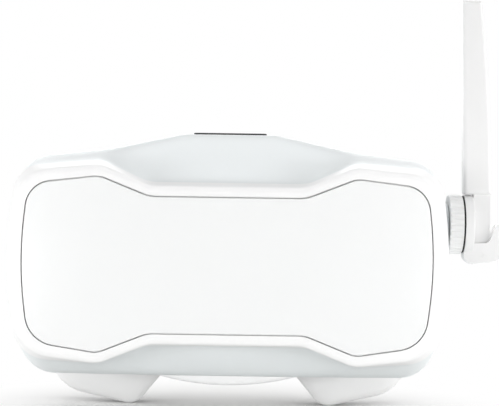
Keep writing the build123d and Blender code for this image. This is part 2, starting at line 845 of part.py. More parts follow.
power_foot_x = behind_panel_x + button_flange + button_foot
with BuildPart() as power_switch:
    power_plunger_x = power_foot_x + power_travel + seat_gap
    with BuildSketch(Plane.YZ.offset(power_plunger_x)):
        with Locations((power_y, power_z)):
            Circle(plunger_radius)
    extrude(amount=plunger_length)
    with BuildSketch(Plane.YZ.offset(power_plunger_x + plunger_length)):
        with Locations((port_board_y + switch_cube / 2 + seat_gap, power_z)):
            Rectangle(switch_cube, switch_cube)
    extrude(amount=switch_depth)

with BuildPart() as status_light:
    with BuildSketch(Plane.YZ.offset(panel_x - seat_gap)):
        with Locations((light_y, power_z)):
            Circle(light_radius)
    extrude(amount=light_length)

with BuildPart() as port_board:
    with BuildSketch(Plane.XZ.offset(-port_board_y)):
        with Locations((port_board_x, panel_z)):
            Rectangle(port_board_width, panel_height - 4 * panel_lip)
        # a notch that the power button's flange moves in
        with Locations((button_notch_x, power_z)):
            Rectangle(button_notch_width, button_notch_height, mode=Mode.SUBTRACT)
    extrude(amount=port_board_thickness)

with BuildPart() as av_socket:
    with BuildSketch(Plane.YZ.offset(behind_panel_x)):
        with Locations((port_board_y + run_gap + av_case_width / 2, av_z)):
            Rectangle(av_case_width, av_case_height)
    extrude(amount=av_length - panel_thickness - panel_flange)
    with BuildSketch(Plane.YZ.offset(mouth_x)):
        with Locations((rear_column_y, av_z)):
            Circle(av_collar_radius)
    extrude(amount=behind_panel_x - panel_x)
    with BuildSketch(Plane.YZ.offset(mouth_x)):
        with Locations((rear_column_y, av_z)):
            Circle(av_bore)
    extrude(amount=av_length - av_back_wall, mode=Mode.SUBTRACT)

with BuildPart() as usb_socket:
    with BuildSketch(Plane.YZ.offset(mouth_x)):
        with Locations((front_sockets_y - usb_thickness / 2, usb_z)):
            SlotOverall(usb_width, usb_thickness, rotation=90)
    extrude(amount=usb_length)
    with BuildSketch(Plane.YZ.offset(mouth_x)):
        with Locations((front_sockets_y - usb_thickness / 2, usb_z)):
            SlotOverall(usb_width - 2 * sheet_metal, usb_thickness - 2 * sheet_metal, rotation=90)
    extrude(amount=usb_length - usb_back_wall, mode=Mode.SUBTRACT)
    with BuildSketch(Plane.YZ.offset(mouth_x + usb_tongue_start)):
        with Locations((front_sockets_y - usb_thickness / 2, usb_z)):
            Rectangle(usb_tongue_thickness, usb_tongue_width)
    extrude(amount=usb_length - usb_back_wall - sheet_metal)

with BuildPart() as card_socket:
    with BuildSketch(Plane.YZ.offset(mouth_x)):
        with Locations((front_sockets_y - card_thickness / 2, card_z)):
            Rectangle(card_thickness, card_width)
            Rectangle(
                card_thickness - 2 * sheet_metal,
                card_width - 2 * card_side_wall,
                mode=Mode.SUBTRACT,
            )
    extrude(amount=card_length)
    with BuildSketch(Plane.YZ.offset(mouth_x + card_length)):
        with Locations((front_sockets_y - card_thickness / 2, card_z)):
            Rectangle(card_thickness, card_width)
    extrude(amount=card_back_wall)

# ------------------------------------------------------------------ battery and its door
bay_middle_y = (bay_front_y + bay_rear_y) / 2
battery_z = floor_z + wall + seam
with BuildPart() as battery:
    with BuildSketch(Plane.XY.offset(battery_z)):
        with Locations((0, bay_middle_y)):
            RectangleRounded(battery_width, battery_depth, battery_corner)
    extrude(amount=battery_height)
    fillet(battery.edges().filter_by(Axis.X), battery_round)

door_rim_z = floor_z - seat_gap
door_radius = (door_half_width**2 + door_belly**2) / (2 * door_belly)
door_middle_y = (door_front_y + door_rear_y) / 2
door_end_y = door_rear_y - door_heel
with BuildPart() as door_hollow:
    with BuildSketch(Plane.XY.offset(door_rim_z)):
        with Locations((0, door_middle_y)):
            Rectangle(
                2 * (door_half_width - door_wall),
                door_rear_y - door_front_y - 2 * door_wall - door_knuckle_room,
            )
    extrude(amount=-2 * door_belly)
    with Locations(Location((0, door_middle_y, door_rim_z - door_belly + door_radius), (90, 0, 0))):
        Cylinder(door_radius - door_wall, far_reach, mode=Mode.INTERSECT)

with BuildPart() as battery_door:
    with BuildSketch(Plane.XY.offset(door_rim_z)):
        with Locations((0, (door_front_y + door_end_y) / 2)):
            Rectangle(2 * door_half_width, door_end_y - door_front_y)
        with Locations((door_half_width, door_rear_y), (-door_half_width, door_rear_y)):
            Rectangle(2 * (door_lug_inset + seat_gap), door_lug_room, mode=Mode.SUBTRACT)
    extrude(amount=-2 * door_belly)
    with Locations(Location((0, door_middle_y, door_rim_z - door_belly + door_radius), (90, 0, 0))):
        Cylinder(door_radius, far_reach, mode=Mode.INTERSECT)
    fillet(battery_door.faces().sort_by(Axis.Y)[0].edges().sort_by(Axis.Z)[0], door_edge_round)
    with BuildSketch(Plane.YZ.offset(seat_gap - door_lug_x)):
        with Locations((door_rear_y, hinge_z)):
            Circle(door_knuckle_radius)
    extrude(amount=2 * (door_lug_x - seat_gap))
    add(door_hollow.part, mode=Mode.SUBTRACT)
    with BuildSketch(Plane.YZ.offset(-door_half_width)):
        with Locations((door_rear_y, hinge_z)):
            Circle(door_pin_radius + run_gap)
    extrude(amount=2 * door_half_width, mode=Mode.SUBTRACT)
    # the snap tab at the front
    with BuildSketch(Plane.XY.offset(door_rim_z - 1)):
        with Locations((0, bay_front_y + snap_inset)):
            Rectangle(snap_width, snap_thickness)
    extrude(amount=wall + 1)

with BuildPart() as door_pin:
    with BuildSketch(Plane.YZ.offset(-door_half_width + door_pin_inset)):
        with Locations((door_rear_y, hinge_z)):
            Circle(door_pin_radius)
    extrude(amount=2 * (door_half_width - door_pin_inset))

# ------------------------------------------------------------------ display and boards
display_front_y = tray_y + tray_web + seat_gap
tray_end_y = display_front_y + display_thickness + tray_lip
tray_width = display_width + 2 * (tray_wall + slide_gap)
tray_height = display_height + 2 * (tray_wall + slide_gap) - tray_trim
with BuildPart() as display_tray:
    with BuildSketch(across(tray_end_y)):
        RectangleRounded(tray_width, tray_height, tray_corner)
    extrude(amount=tray_end_y - tray_y)
    with BuildSketch(across(tray_end_y)):
        Rectangle(display_width + 2 * slide_gap, display_height + 2 * slide_gap)
    extrude(amount=tray_end_y - tray_y - tray_web, mode=Mode.SUBTRACT)
    # ears that the case screws clamp
    with BuildSketch(across(tray_y + tray_flange)):
        ear_length = case_post_x - tray_width / 2 + post_radius
        with Locations(*corners4(case_post_x + post_radius - ear_length / 2, case_post_z)):
            RectangleRounded(ear_length + 1.0, 2 * post_radius, ear_corner)
    extrude(amount=tray_flange)
    with BuildSketch(across(tray_y + tray_flange)):
        with Locations(*corners4(case_post_x, case_post_z)):
            Circle(screw_way)
    extrude(amount=tray_flange, mode=Mode.SUBTRACT)
    # posts of the main board
    with BuildSketch(across(tray_y)):
        with Locations(*corners4(board_post_x, board_post_z)):
            Circle(board_post_radius)
    extrude(amount=tray_y - board_y)
    with BuildSketch(across(tray_y - 4)):
        with Locations(*corners4(board_post_x, board_post_z)):
            Circle(screw_hole)
    extrude(amount=tray_y - board_y, mode=Mode.SUBTRACT)

with BuildPart() as display_panel:
    with BuildSketch(across(display_front_y + display_thickness)):
        Rectangle(display_width, display_height)
    extrude(amount=display_thickness)
    with BuildSketch(across(display_front_y + display_thickness)):
        with Locations((view_shift, 0)):
            Rectangle(display_width - view_margin_x, display_height - view_margin_z)
    extrude(amount=view_recess, mode=Mode.SUBTRACT)

with BuildPart() as main_board:
    with BuildSketch(across(board_y)):
        RectangleRounded(board_width, board_height, board_corner)
        with Locations(*corners4(board_post_x, board_post_z)):
            Circle(screw_way, mode=Mode.SUBTRACT)
    extrude(amount=board_thickness)

board_front_y = board_y - board_thickness
# x, z, width, height and thickness of each chip on the board's front face
chip_places = [(-20, 4, 12, 12, 1.2), (-38, -4, 7, 9, 1.0), (-4, -8, 9, 6, 1.0), (2, 12, 5, 5, 0.9)]
capacitor_places = [(-30, -12), (-22, -12), (14, 14)]
capacitor_radius = 3.0
capacitor_height = 6.0
connector_width = 22.0
connector_height = 4.0
connector_depth = 3.0
with BuildPart() as board_chips:
    for x, z, width, height, thickness in chip_places:
        with BuildSketch(across(board_front_y)):
            with Locations((x, z)):
                Rectangle(width, height)
        extrude(amount=thickness)
    # capacitors and a connector on the board's rear face
    with BuildSketch(across(board_y)):
        with Locations(*capacitor_places):
            Circle(capacitor_radius)
    extrude(amount=-capacitor_height)
    with BuildSketch(across(board_y)):
        with Locations((0, -board_post_z)):
            Rectangle(connector_width, connector_height)
    extrude(amount=-connector_depth)

receiver_x = 31.0
receiver_width = 28.0
receiver_height = 22.0
receiver_thickness = 2.6
receiver_corner = 0.8
receiver_edge_round = 0.4
with BuildPart() as receiver_module:
    with BuildSketch(across(board_front_y)):
        with Locations((receiver_x, 0)):
            RectangleRounded(receiver_width, receiver_height, receiver_corner)
    extrude(amount=receiver_thickness)
    fillet(receiver_module.faces().sort_by(Axis.Y)[0].edges(), receiver_edge_round)

with BuildPart() as board_screws:
    with Locations(
        *[Location((x, board_front_y, z), to_front) for x, z in corners4(board_post_x, board_post_z)]
    ):
        add(screw(board_screw_length))

with BuildPart() as case_screws:
    with Locations(
        *[Location((x, head_seat_y, z), to_front) for x, z in corners4(case_post_x, case_post_z)]
    ):
        add(screw(post_front_y - head_seat_y + post_bite))

# ------------------------------------------------------------------ hood and lens
hood_rear_y = frame_y - seam
ring_y = frame_y + bulkhead + seat_gap
with BuildPart() as light_hood:
    for shrink, mode in ((0, Mode.ADD), (hood_wall, Mode.SUBTRACT)):
        with BuildSketch(across(tray_end_y + slide_gap)):
            RectangleRounded(
                tray_width - 2 * (hood_inset_x + shrink),
                tray_height - 2 * (hood_inset_z + shrink),
                hood_corner - shrink,
            )
        with BuildSketch(across(hood_rear_y)):
            RectangleRounded(
                lens_width + hood_margin - 2 * shrink,
                lens_height + hood_margin - 2 * shrink,
                lens_corner - shrink,
            )
        loft(ruled=True, mode=mode)

with BuildPart() as lens:
    with BuildSketch(across(ring_y + lens_thickness)):
        RectangleRounded(lens_width, lens_height, lens_corner)
    extrude(amount=lens_thickness)

ring_width = lens_width + 2 * ring_border
ring_height = lens_height + 1.5 * ring_border
ring_screw_x = ring_width / 2 - ring_screw_inset
ring_screw_z = ring_height / 2 - ring_screw_inset
with BuildPart() as lens_ring:
    with BuildSketch(across(ring_y + lens_thickness + ring_lip)):
        RectangleRounded(ring_width, ring_height, lens_corner)
    extrude(amount=lens_thickness + ring_lip)
    # the frame's walls notch the ring at the nose
    add(frame_room(frame_wall + seam), mode=Mode.INTERSECT)
    with BuildSketch(across(ring_y + lens_thickness + seat_gap / 2)):
        RectangleRounded(
            lens_width + 2 * fit_gap, lens_height + 2 * fit_gap, lens_corner + fit_gap
        )
    extrude(amount=lens_thickness + 1, mode=Mode.SUBTRACT)
    with BuildSketch(across(ring_y + lens_thickness + 2)):
        RectangleRounded(
            lens_width - 2 * lens_overlap, lens_height - 2 * lens_overlap, lens_corner - lens_overlap
        )
    extrude(amount=lens_thickness + 2, mode=Mode.SUBTRACT)
    chamfer(lens_ring.faces().sort_by(Axis.Y)[-1].inner_wires()[0].edges(), ring_chamfer)
    with BuildSketch(across(ring_y + lens_thickness + 2)):
        with Locations(*corners4(ring_screw_x, ring_screw_z)):
            Circle(screw_way)
    extrude(amount=lens_thickness + 3, mode=Mode.SUBTRACT)

with BuildPart() as lens_ring_screws:
    with Locations(
        *[
            Location((x, ring_y + lens_thickness + ring_lip, z), to_rear)
            for x, z in corners4(ring_screw_x, ring_screw_z)
        ]
    ):
        add(screw(ring_screw_length))

# ------------------------------------------------------------------ face frame
with BuildPart() as rim_room:
    add(frame_room(frame_wall))
    add(beyond_rim(-rim_flange), mode=Mode.SUBTRACT)

strap_slot_x = rear_half_width + strap_slot_outset
strap_lug_end = strap_slot_x + strap_slot / 2 + strap_bar
top_slot_z = hump_top - top_slot_drop
with BuildPart() as face_frame:
    loft(between(frame_y, frame_outline, cheek_y, cheek_outline, 0, rear_steps))
    extrude(section(cheek_end_y, whole(cheek_outline)), amount=cheek_end_y - cheek_y)
    add(beyond_rim(0), mode=Mode.SUBTRACT)
    extrude(section(inner_y, whole(rear_outline)), amount=bulkhead)
    add(rim_room.part, mode=Mode.SUBTRACT)
    extrude(
        section(cheek_end_y, whole(eye_outline)), amount=cheek_end_y - inner_y, mode=Mode.SUBTRACT
    )
    # the tongue that centres the frame in the housing
    tongue_outer = mitred(rear_outline, wall + fit_gap)
    tongue_inner = mitred(rear_outline, wall + fit_gap + tongue_thickness)
    extrude(section(frame_y + tongue_overlap, tongue_outer), amount=tongue_length + tongue_overlap)
    extrude(section(frame_y, tongue_inner), amount=tongue_root, mode=Mode.SUBTRACT)
    # bosses of the lens ring's screws
    with BuildSketch(across(frame_y)):
        with Locations(*corners4(ring_screw_x, ring_screw_z)):
            Circle(ring_boss_radius)
    extrude(amount=ring_boss_length)
    with BuildSketch(across(inner_y)):
        with Locations(*corners4(ring_screw_x, ring_screw_z)):
            Circle(screw_hole)
    extrude(amount=ring_boss_length + 1, mode=Mode.SUBTRACT)
    # holes of the frame screws and the window behind the lens
    with BuildSketch(across(inner_y)):
        with Locations(*corners4(frame_post_x, frame_post_z)):
            Circle(screw_way)
        RectangleRounded(
            lens_width - 2 * lens_overlap, lens_height - 2 * lens_overlap, lens_corner - lens_overlap
        )
    extrude(amount=bulkhead + cutter_reach, mode=Mode.SUBTRACT)
    # lugs for the head strap, at both sides and on top
    with BuildSketch(across(side_lug_y)):
        lug_x = (rear_half_width - lug_root + strap_lug_end) / 2
        with Locations((lug_x, 0), (-lug_x, 0)):
            RectangleRounded(
                strap_lug_end - rear_half_width + lug_root,
                strap_slot_length + 4 * strap_bar,
                lug_corner,
            )
    extrude(amount=lug_thickness)
    with BuildSketch(across(side_lug_y)):
        with Locations((strap_slot_x, 0), (-strap_slot_x, 0)):
            RectangleRounded(strap_slot, strap_slot_length, slot_corner)
    extrude(amount=lug_thickness, mode=Mode.SUBTRACT)
    with BuildSketch(across(top_lug_y)):
        with Locations((0, top_slot_z - top_lug_drop)):
            RectangleRounded(
                strap_slot_length + 4 * strap_bar,
                strap_slot + 2 * strap_bar + 2 * top_lug_drop,
                lug_corner,
            )
    extrude(amount=lug_thickness)
    with BuildSketch(across(top_lug_y)):
        with Locations((0, top_slot_z)):
            RectangleRounded(strap_slot_length, strap_slot, slot_corner)
    extrude(amount=lug_thickness, mode=Mode.SUBTRACT)
    # vents through the top wall
    with BuildSketch(Plane.XY.offset(hump_top)):
        with Locations((top_vent_x, top_vent_y), (-top_vent_x, top_vent_y)):
            with GridLocations(top_vent_pitch, 0, vent_count, 1):
                SlotOverall(top_vent_length, vent_width, rotation=90)
    extrude(amount=-top_vent_depth, mode=Mode.SUBTRACT)

with BuildPart() as frame_screws:
    with Locations(
        *[Location((x, inner_y, z), to_rear) for x, z in corners4(frame_post_x, frame_post_z)]
    ):
        add(screw(frame_screw_length))

# ------------------------------------------------------------------ cushion
pad_outline = mitred(cheek_outline, pad_inset)
pad_end_y = cheek_end_y + pad_reach


def pad_layer(near, far):
    """A C-shaped layer on the rim, from near to far in front of it, open at the nose."""
    with BuildPart() as made:
        extrude(section(pad_end_y, pad_outline), amount=pad_end_y - frame_y)
        add(beyond_rim(near), mode=Mode.INTERSECT)
        add(beyond_rim(far), mode=Mode.SUBTRACT)
        extrude(
            section(pad_end_y, whole(eye_outline)),
            amount=pad_end_y - frame_y,
            mode=Mode.SUBTRACT,
        )
        with BuildSketch(across(pad_end_y)):
            with Locations((0, nose_bottom / 2)):
                Rectangle(2 * nose_half_width, -nose_bottom)
        extrude(amount=pad_end_y - frame_y, mode=Mode.SUBTRACT)
    return made


cushion_backing = pad_layer(seat_gap, seat_gap + backing_thickness)
face_cushion = pad_layer(2 * seat_gap + backing_thickness, 2 * seat_gap + pad_thickness)

with BuildPart() as nose_flap:
    extrude(section(cheek_end_y, mitred(cheek_outline, -flap_out)), amount=cheek_end_y - frame_y)
    extrude(
        section(cheek_end_y, mitred(cheek_outline, flap_in)),
        amount=cheek_end_y - frame_y,
        mode=Mode.SUBTRACT,
    )
    add(beyond_rim(seat_gap), mode=Mode.INTERSECT)
    add(beyond_rim(seat_gap + flap_thickness), mode=Mode.SUBTRACT)
    with BuildSketch(across(cheek_end_y)):
        with Locations((0, nose_bottom / 2)):
            Rectangle(2 * nose_half_width - 2, -nose_bottom - 2)
    extrude(amount=cheek_end_y - frame_y, mode=Mode.INTERSECT)

# ------------------------------------------------------------------ antenna
nut_start = boss_x + washer_thickness + 1.5 * seat_gap
jack_end = boss_x + jack_reach
jack_tail_x = boss_x - boss_depth - jack_flange - jack_tail
with BuildPart() as antenna_jack:
    with BuildSketch(Plane.YZ.offset(boss_x - boss_depth - seat_gap - jack_flange)):
        with Locations((antenna_y, antenna_z)):
            Circle(jack_flange_radius)
    extrude(amount=jack_flange)
    with BuildSketch(Plane.YZ.offset(boss_x - boss_depth - jack_flange / 2)):
        with Locations((antenna_y, antenna_z)):
            Circle(thread_radius)
    extrude(amount=jack_end - boss_x + boss_depth + jack_flange / 2)
    chamfer(antenna_jack.faces().sort_by(Axis.X)[-1].edges(), jack_chamfer)
    with BuildSketch(Plane.YZ.offset(jack_tail_x)):
        with Locations((antenna_y, antenna_z)):
            Circle(jack_tail_radius)
    extrude(amount=jack_tail)
    with BuildSketch(Plane.YZ.offset(jack_end)):
        with Locations((antenna_y, antenna_z)):
            Circle(jack_bore_radius)
    extrude(amount=-jack_bore_depth, mode=Mode.SUBTRACT)

with BuildPart() as jack_washer:
    with BuildSketch(Plane.YZ.offset(boss_x + seat_gap / 2)):
        with Locations((antenna_y, antenna_z)):
            Circle(washer_radius)
            Circle(thread_radius + run_gap, mode=Mode.SUBTRACT)
    extrude(amount=washer_thickness)

with BuildPart() as jack_nut:
    with BuildSketch(Plane.YZ.offset(nut_start)):
        with Locations((antenna_y, antenna_z)):
            RegularPolygon(nut_flats / 2, 6, major_radius=False)
            Circle(thread_radius + run_gap, mode=Mode.SUBTRACT)
    extrude(amount=nut_thickness)

collar_thread_x = nut_start + nut_thickness + seam
hub_seat_x = collar_end - hub_length
with BuildPart() as antenna_collar:
    with BuildSketch(Plane.YZ.offset(collar_start)):
        with Locations((antenna_y, antenna_z)):
            Circle(collar_radius)
    extrude(amount=collar_end - collar_start)
    chamfer(antenna_collar.edges(), collar_chamfer)
    with BuildSketch(Plane.YZ.offset(collar_start)):
        with Locations((antenna_y, antenna_z)):
            with PolarLocations(collar_radius + rib_groove_out, collar_ribs):
                Circle(rib_groove_radius)
    extrude(amount=collar_end - collar_start, mode=Mode.SUBTRACT)
    with BuildSketch(Plane.YZ.offset(collar_start)):
        with Locations((antenna_y, antenna_z)):
            Circle(nut_room_radius)
    extrude(amount=collar_thread_x - collar_start, mode=Mode.SUBTRACT)
    with BuildSketch(Plane.YZ.offset(collar_start)):
        with Locations((antenna_y, antenna_z)):
            Circle(thread_radius + 1.5 * run_gap)
    extrude(amount=collar_end - collar_start, mode=Mode.SUBTRACT)
    with BuildSketch(Plane.YZ.offset(hub_seat_x)):
        with Locations((antenna_y, antenna_z)):
            Circle(hub_radius + run_gap)
    extrude(amount=collar_end - hub_seat_x, mode=Mode.SUBTRACT)

with BuildPart() as antenna_seal:
    with BuildSketch(Plane.YZ.offset(collar_end + run_gap)):
        with Locations((antenna_y, antenna_z)):
            Circle(collar_radius - collar_chamfer)
            Circle(hub_radius + seal_margin, mode=Mode.SUBTRACT)
    extrude(amount=seal_thickness - 2 * run_gap)

fork_half = tang_thickness / 2 + slide_gap + fork_cheek
fork_bottom = fold_z - tang_half_width - fork_floor
across_antenna = across(antenna_y + fork_half)
with BuildPart() as antenna_knuckle:
    # the round web beside the seal, with the hub that turns in the collar
    with BuildSketch(Plane.YZ.offset(knuckle_start)):
        with Locations((antenna_y, antenna_z)):
            Circle(collar_radius)
        with Locations((antenna_y, (antenna_z + fork_bottom) / 2)):
            Rectangle(2 * fork_half, antenna_z - fork_bottom)
    extrude(amount=knuckle_web)
    fillet(antenna_knuckle.faces().sort_by(Axis.X)[-1].edges().sort_by(Axis.Z)[-1], web_round)
    with BuildSketch(Plane.YZ.offset(hub_seat_x + fit_gap)):
        with Locations((antenna_y, antenna_z)):
            Circle(hub_radius)
    extrude(amount=knuckle_start - hub_seat_x)
    with BuildSketch(Plane.YZ.offset(hub_seat_x)):
        with Locations((antenna_y, antenna_z)):
            Circle(thread_radius + 2.5 * run_gap)
    extrude(amount=knuckle_start - hub_seat_x, mode=Mode.SUBTRACT)
    # the fork and the stub beyond it
    web_end = knuckle_start + knuckle_web
    with BuildSketch(across_antenna):
        with BuildLine():
            FilletPolyline(
                (knuckle_start, fork_bottom + 12),
                (knuckle_start, fork_bottom),
                (knuckle_end - 5, fork_bottom + 0.8),
                (knuckle_end, fork_bottom + 2.4),
                (knuckle_end, fork_bottom + fork_arm),
                (knuckle_end - 1.9, fork_bottom + fork_arm),
                (knuckle_end - 4.9, fork_bottom + fork_throat),
                (web_end - 0.5, fork_bottom + fork_throat),
                (web_end - 0.5, fork_bottom + 12),
                radius=[0.5, 4.0, 2, 1.0, 0.9, 0.8, 2.5, 0.4, 0.5],
                close=True,
            )
        make_face()
    extrude(amount=2 * fork_half)
    with BuildSketch(Plane.YZ.offset(web_end)):
        with Locations((antenna_y, antenna_z)):
            Rectangle(tang_thickness + 2 * slide_gap, 60)
    extrude(amount=knuckle_end - web_end + 1, mode=Mode.SUBTRACT)
    # the heel is rounded outside the fork as well
    with BuildSketch(across_antenna):
        with BuildLine():
            Polyline(
                (knuckle_start - heel_radius, fork_bottom - heel_radius),
                (knuckle_start + heel_radius, fork_bottom - heel_radius),
                (knuckle_start + heel_radius, fork_bottom),
            )
            RadiusArc(
                (knuckle_start + heel_radius, fork_bottom),
                (knuckle_start, fork_bottom + heel_radius),
                heel_radius,
            )
            Polyline(
                (knuckle_start, fork_bottom + heel_radius),
                (knuckle_start - heel_radius, fork_bottom + heel_radius),
                (knuckle_start - heel_radius, fork_bottom - heel_radius),
            )
        make_face()
    extrude(amount=2 * fork_half, mode=Mode.SUBTRACT)
    with BuildSketch(across_antenna):
        with Locations((fold_x, fold_z)):
            Circle(fold_pin_radius + pin_grip)
    extrude(amount=2 * fork_half, mode=Mode.SUBTRACT)

with BuildPart() as fold_pin:
    with BuildSketch(across(antenna_y + fork_half - slide_gap)):
        with Locations((fold_x, fold_z)):
            Circle(fold_pin_radius)
    extrude(amount=2 * (fork_half - slide_gap))

element_x = mast_left + element_offset
element_room_z = fold_z + element_inset
with BuildPart() as antenna_mast:
    with BuildSketch(across(antenna_y + mast_thickness / 2)) as mast_outline:
        with BuildLine():
            Polyline(
                (mast_left + mast_width, mast_bottom),
                (mast_left, mast_bottom),
                (mast_left - mast_lean, mast_top),
                (mast_left + mast_tip_width, mast_top),
            )
            ThreePointArc(
                (mast_left + mast_tip_width, mast_top),
                (mast_left + mast_middle_width, (mast_bottom + mast_top) / 2),
                (mast_left + mast_width, mast_bottom),
            )
        make_face()
        mast_corners = mast_outline.vertices().sort_by(Axis.Z)
        fillet(mast_corners[:2], mast_foot_round)
        fillet(mast_corners[2:], mast_tip_round)
    extrude(amount=mast_thickness)
    # the front and the rear of the mast lean towards each other
    for side in (-1, 1):
        with BuildSketch(Plane.YZ.offset(mast_left - mast_lean - 1)):
            with BuildLine():
                Polyline(
                    (antenna_y + side * mast_thickness / 2, mast_bottom),
                    (antenna_y + side * mast_tip_thickness / 2, mast_top + 1),
                    (antenna_y + side * mast_thickness, mast_top + 1),
                    (antenna_y + side * mast_thickness, mast_bottom),
                    close=True,
                )
            make_face()
        extrude(amount=3 * mast_width, mode=Mode.SUBTRACT)
    fillet(antenna_mast.edges().filter_by(lambda edge: edge.length > 2 * mast_width), mast_edge_round)
    # the tang
    with BuildSketch(across(antenna_y + tang_thickness / 2)):
        with Locations((fold_x, fold_z)):
            Circle(tang_half_width)
        with Locations((fold_x, (fold_z + mast_bottom + 1) / 2)):
            Rectangle(2 * tang_half_width, mast_bottom + 1 - fold_z)
        with Locations((fold_x + tang_step / 2, (fold_z + tang_eye + mast_bottom + 1) / 2)):
            Rectangle(2 * tang_half_width + tang_step, mast_bottom + 1 - fold_z - tang_eye)
    extrude(amount=tang_thickness)
    with BuildSketch(across(antenna_y + tang_thickness)):
        with Locations((fold_x, fold_z)):
            Circle(fold_pin_radius + run_gap)
    extrude(amount=2 * tang_thickness, mode=Mode.SUBTRACT)
    with BuildSketch(Plane.XY.offset(element_room_z)):
        with Locations((element_x, antenna_y)):
            Circle(element_radius + run_gap)
    extrude(amount=mast_top - element_inset - element_room_z, mode=Mode.SUBTRACT)

with BuildPart() as antenna_element:
    with BuildSketch(Plane.XY.offset(element_room_z + seat_gap)):
        with Locations((element_x, antenna_y)):
            Circle(element_radius)
    extrude(amount=mast_top - element_inset - element_room_z - 2 * seat_gap)

coax_route = [
    (jack_tail_x - seat_gap, antenna_y, antenna_z),
    (59, antenna_y, antenna_z),
    (57, board_front_y - 1.5, 8),
    (receiver_x + 14.1, board_front_y - 1.5, 6),
]
with BuildPart() as coax_lead:
    with BuildLine() as coax_line:
        FilletPolyline(*coax_route, radius=[coax_bend, coax_bend])
    with BuildSketch(Plane(coax_line.line @ 0, z_dir=coax_line.line % 0)):
        Circle(coax_radius)
    sweep()

# ------------------------------------------------------------------ export
pieces = {
    "faceplate": faceplate,
    "front_shell": front_shell,
    "main_housing": main_housing,
    "key_strip": key_strip,
    "channel_down_key": channel_down_key,
    "scan_key": scan_key,
    "channel_up_key": channel_up_key,
    "key_board": key_board,
    "key_switches": key_switches,
    "key_board_screws": key_board_screws,
    "port_panel": port_panel,
    "power_button": power_button,
    "power_switch": power_switch,
    "status_light": status_light,
    "port_board": port_board,
    "av_socket": av_socket,
    "usb_socket": usb_socket,
    "card_socket": card_socket,
    "battery": battery,
    "battery_door": battery_door,
    "door_pin": door_pin,
    "display_tray": display_tray,
    "display_panel": display_panel,
    "main_board": main_board,
    "board_chips": board_chips,
    "receiver_module": receiver_module,
    "board_screws": board_screws,
    "case_screws": case_screws,
    "light_hood": light_hood,
    "lens": lens,
    "lens_ring": lens_ring,
    "lens_ring_screws": lens_ring_screws,
    "face_frame": face_frame,
    "frame_screws": frame_screws,
    "cushion_backing": cushion_backing,
    "face_cushion": face_cushion,
    "nose_flap": nose_flap,
    "antenna_jack": antenna_jack,
    "jack_washer": jack_washer,
    "jack_nut": jack_nut,
    "antenna_collar": antenna_collar,
    "antenna_seal": antenna_seal,
    "antenna_knuckle": antenna_knuckle,
    "fold_pin": fold_pin,
    "antenna_mast": antenna_mast,
    "antenna_element": antenna_element,
    "coax_lead": coax_lead,
}
os.makedirs("parts", exist_ok=True)
for name, piece in pieces.items():
    piece.part.label = name
    export_step(piece.part, f"parts/{name}.step")
    print(name, len(piece.part.solids()), round(piece.part.volume), piece.part.is_valid)
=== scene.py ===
# %% [markdown]
# # FPV goggles with a folding antenna
# A pair of box goggles: a white moulded body with a hump on top, a crowned plate in
# front, a lens and a foam cushion on the wearer's side, and one antenna that folds at
# an elbow. The solids come from a CAD model that stays where it is. This lesson gives
# every piece its finish and makes the soft and the fine things that CAD leaves plain.

import json
import math

import bmesh
import bpy
from mathutils import Euler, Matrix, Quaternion, Vector
from mathutils.bvhtree import BVHTree


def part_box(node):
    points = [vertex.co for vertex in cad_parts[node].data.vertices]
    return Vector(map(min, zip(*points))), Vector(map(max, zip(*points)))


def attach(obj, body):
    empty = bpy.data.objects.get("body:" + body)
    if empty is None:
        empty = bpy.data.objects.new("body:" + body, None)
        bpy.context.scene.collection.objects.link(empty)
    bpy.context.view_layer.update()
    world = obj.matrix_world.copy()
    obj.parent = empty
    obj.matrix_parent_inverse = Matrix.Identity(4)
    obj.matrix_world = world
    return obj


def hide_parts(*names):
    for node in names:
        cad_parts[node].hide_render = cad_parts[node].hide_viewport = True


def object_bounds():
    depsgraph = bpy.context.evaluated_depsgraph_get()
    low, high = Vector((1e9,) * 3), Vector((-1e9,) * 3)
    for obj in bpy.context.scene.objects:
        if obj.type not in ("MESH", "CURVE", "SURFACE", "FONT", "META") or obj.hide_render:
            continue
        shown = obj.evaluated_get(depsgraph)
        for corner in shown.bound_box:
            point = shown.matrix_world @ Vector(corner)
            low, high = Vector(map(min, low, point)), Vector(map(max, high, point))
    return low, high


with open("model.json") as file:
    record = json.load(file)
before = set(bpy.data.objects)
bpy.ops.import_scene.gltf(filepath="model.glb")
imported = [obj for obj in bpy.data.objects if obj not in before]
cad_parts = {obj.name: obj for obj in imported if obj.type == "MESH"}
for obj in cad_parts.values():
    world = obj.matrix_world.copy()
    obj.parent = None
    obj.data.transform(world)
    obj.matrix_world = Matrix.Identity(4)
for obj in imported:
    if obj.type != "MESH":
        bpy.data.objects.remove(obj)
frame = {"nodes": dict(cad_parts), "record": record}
cad_low, cad_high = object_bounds()
MM = 0.001
scene = bpy.context.scene
print("size in mm:", [round(side / MM, 1) for side in cad_high - cad_low])

# %% [markdown]
# ## Camera
# Goggles are best shown from about 0.6 m through a long lens, level with the plate and
# a little above its middle, so that the sides hardly show. The camera stands a hair to
# the right of the middle and is tilted by less than a degree.
# A look-at direction and a turn about the line of sight say that in three lines.

# %% Place the camera
CAMERA_PLACE = Vector((10.5, -696, 20)) * MM
CAMERA_AIM = Vector((8.4, -96, 23.7)) * MM
CAMERA_ROLL = math.radians(0.85)
SENSOR_WIDTH = 36.0
FOCAL_LENGTH = 112.1
NEAREST, FARTHEST = 0.05, 20

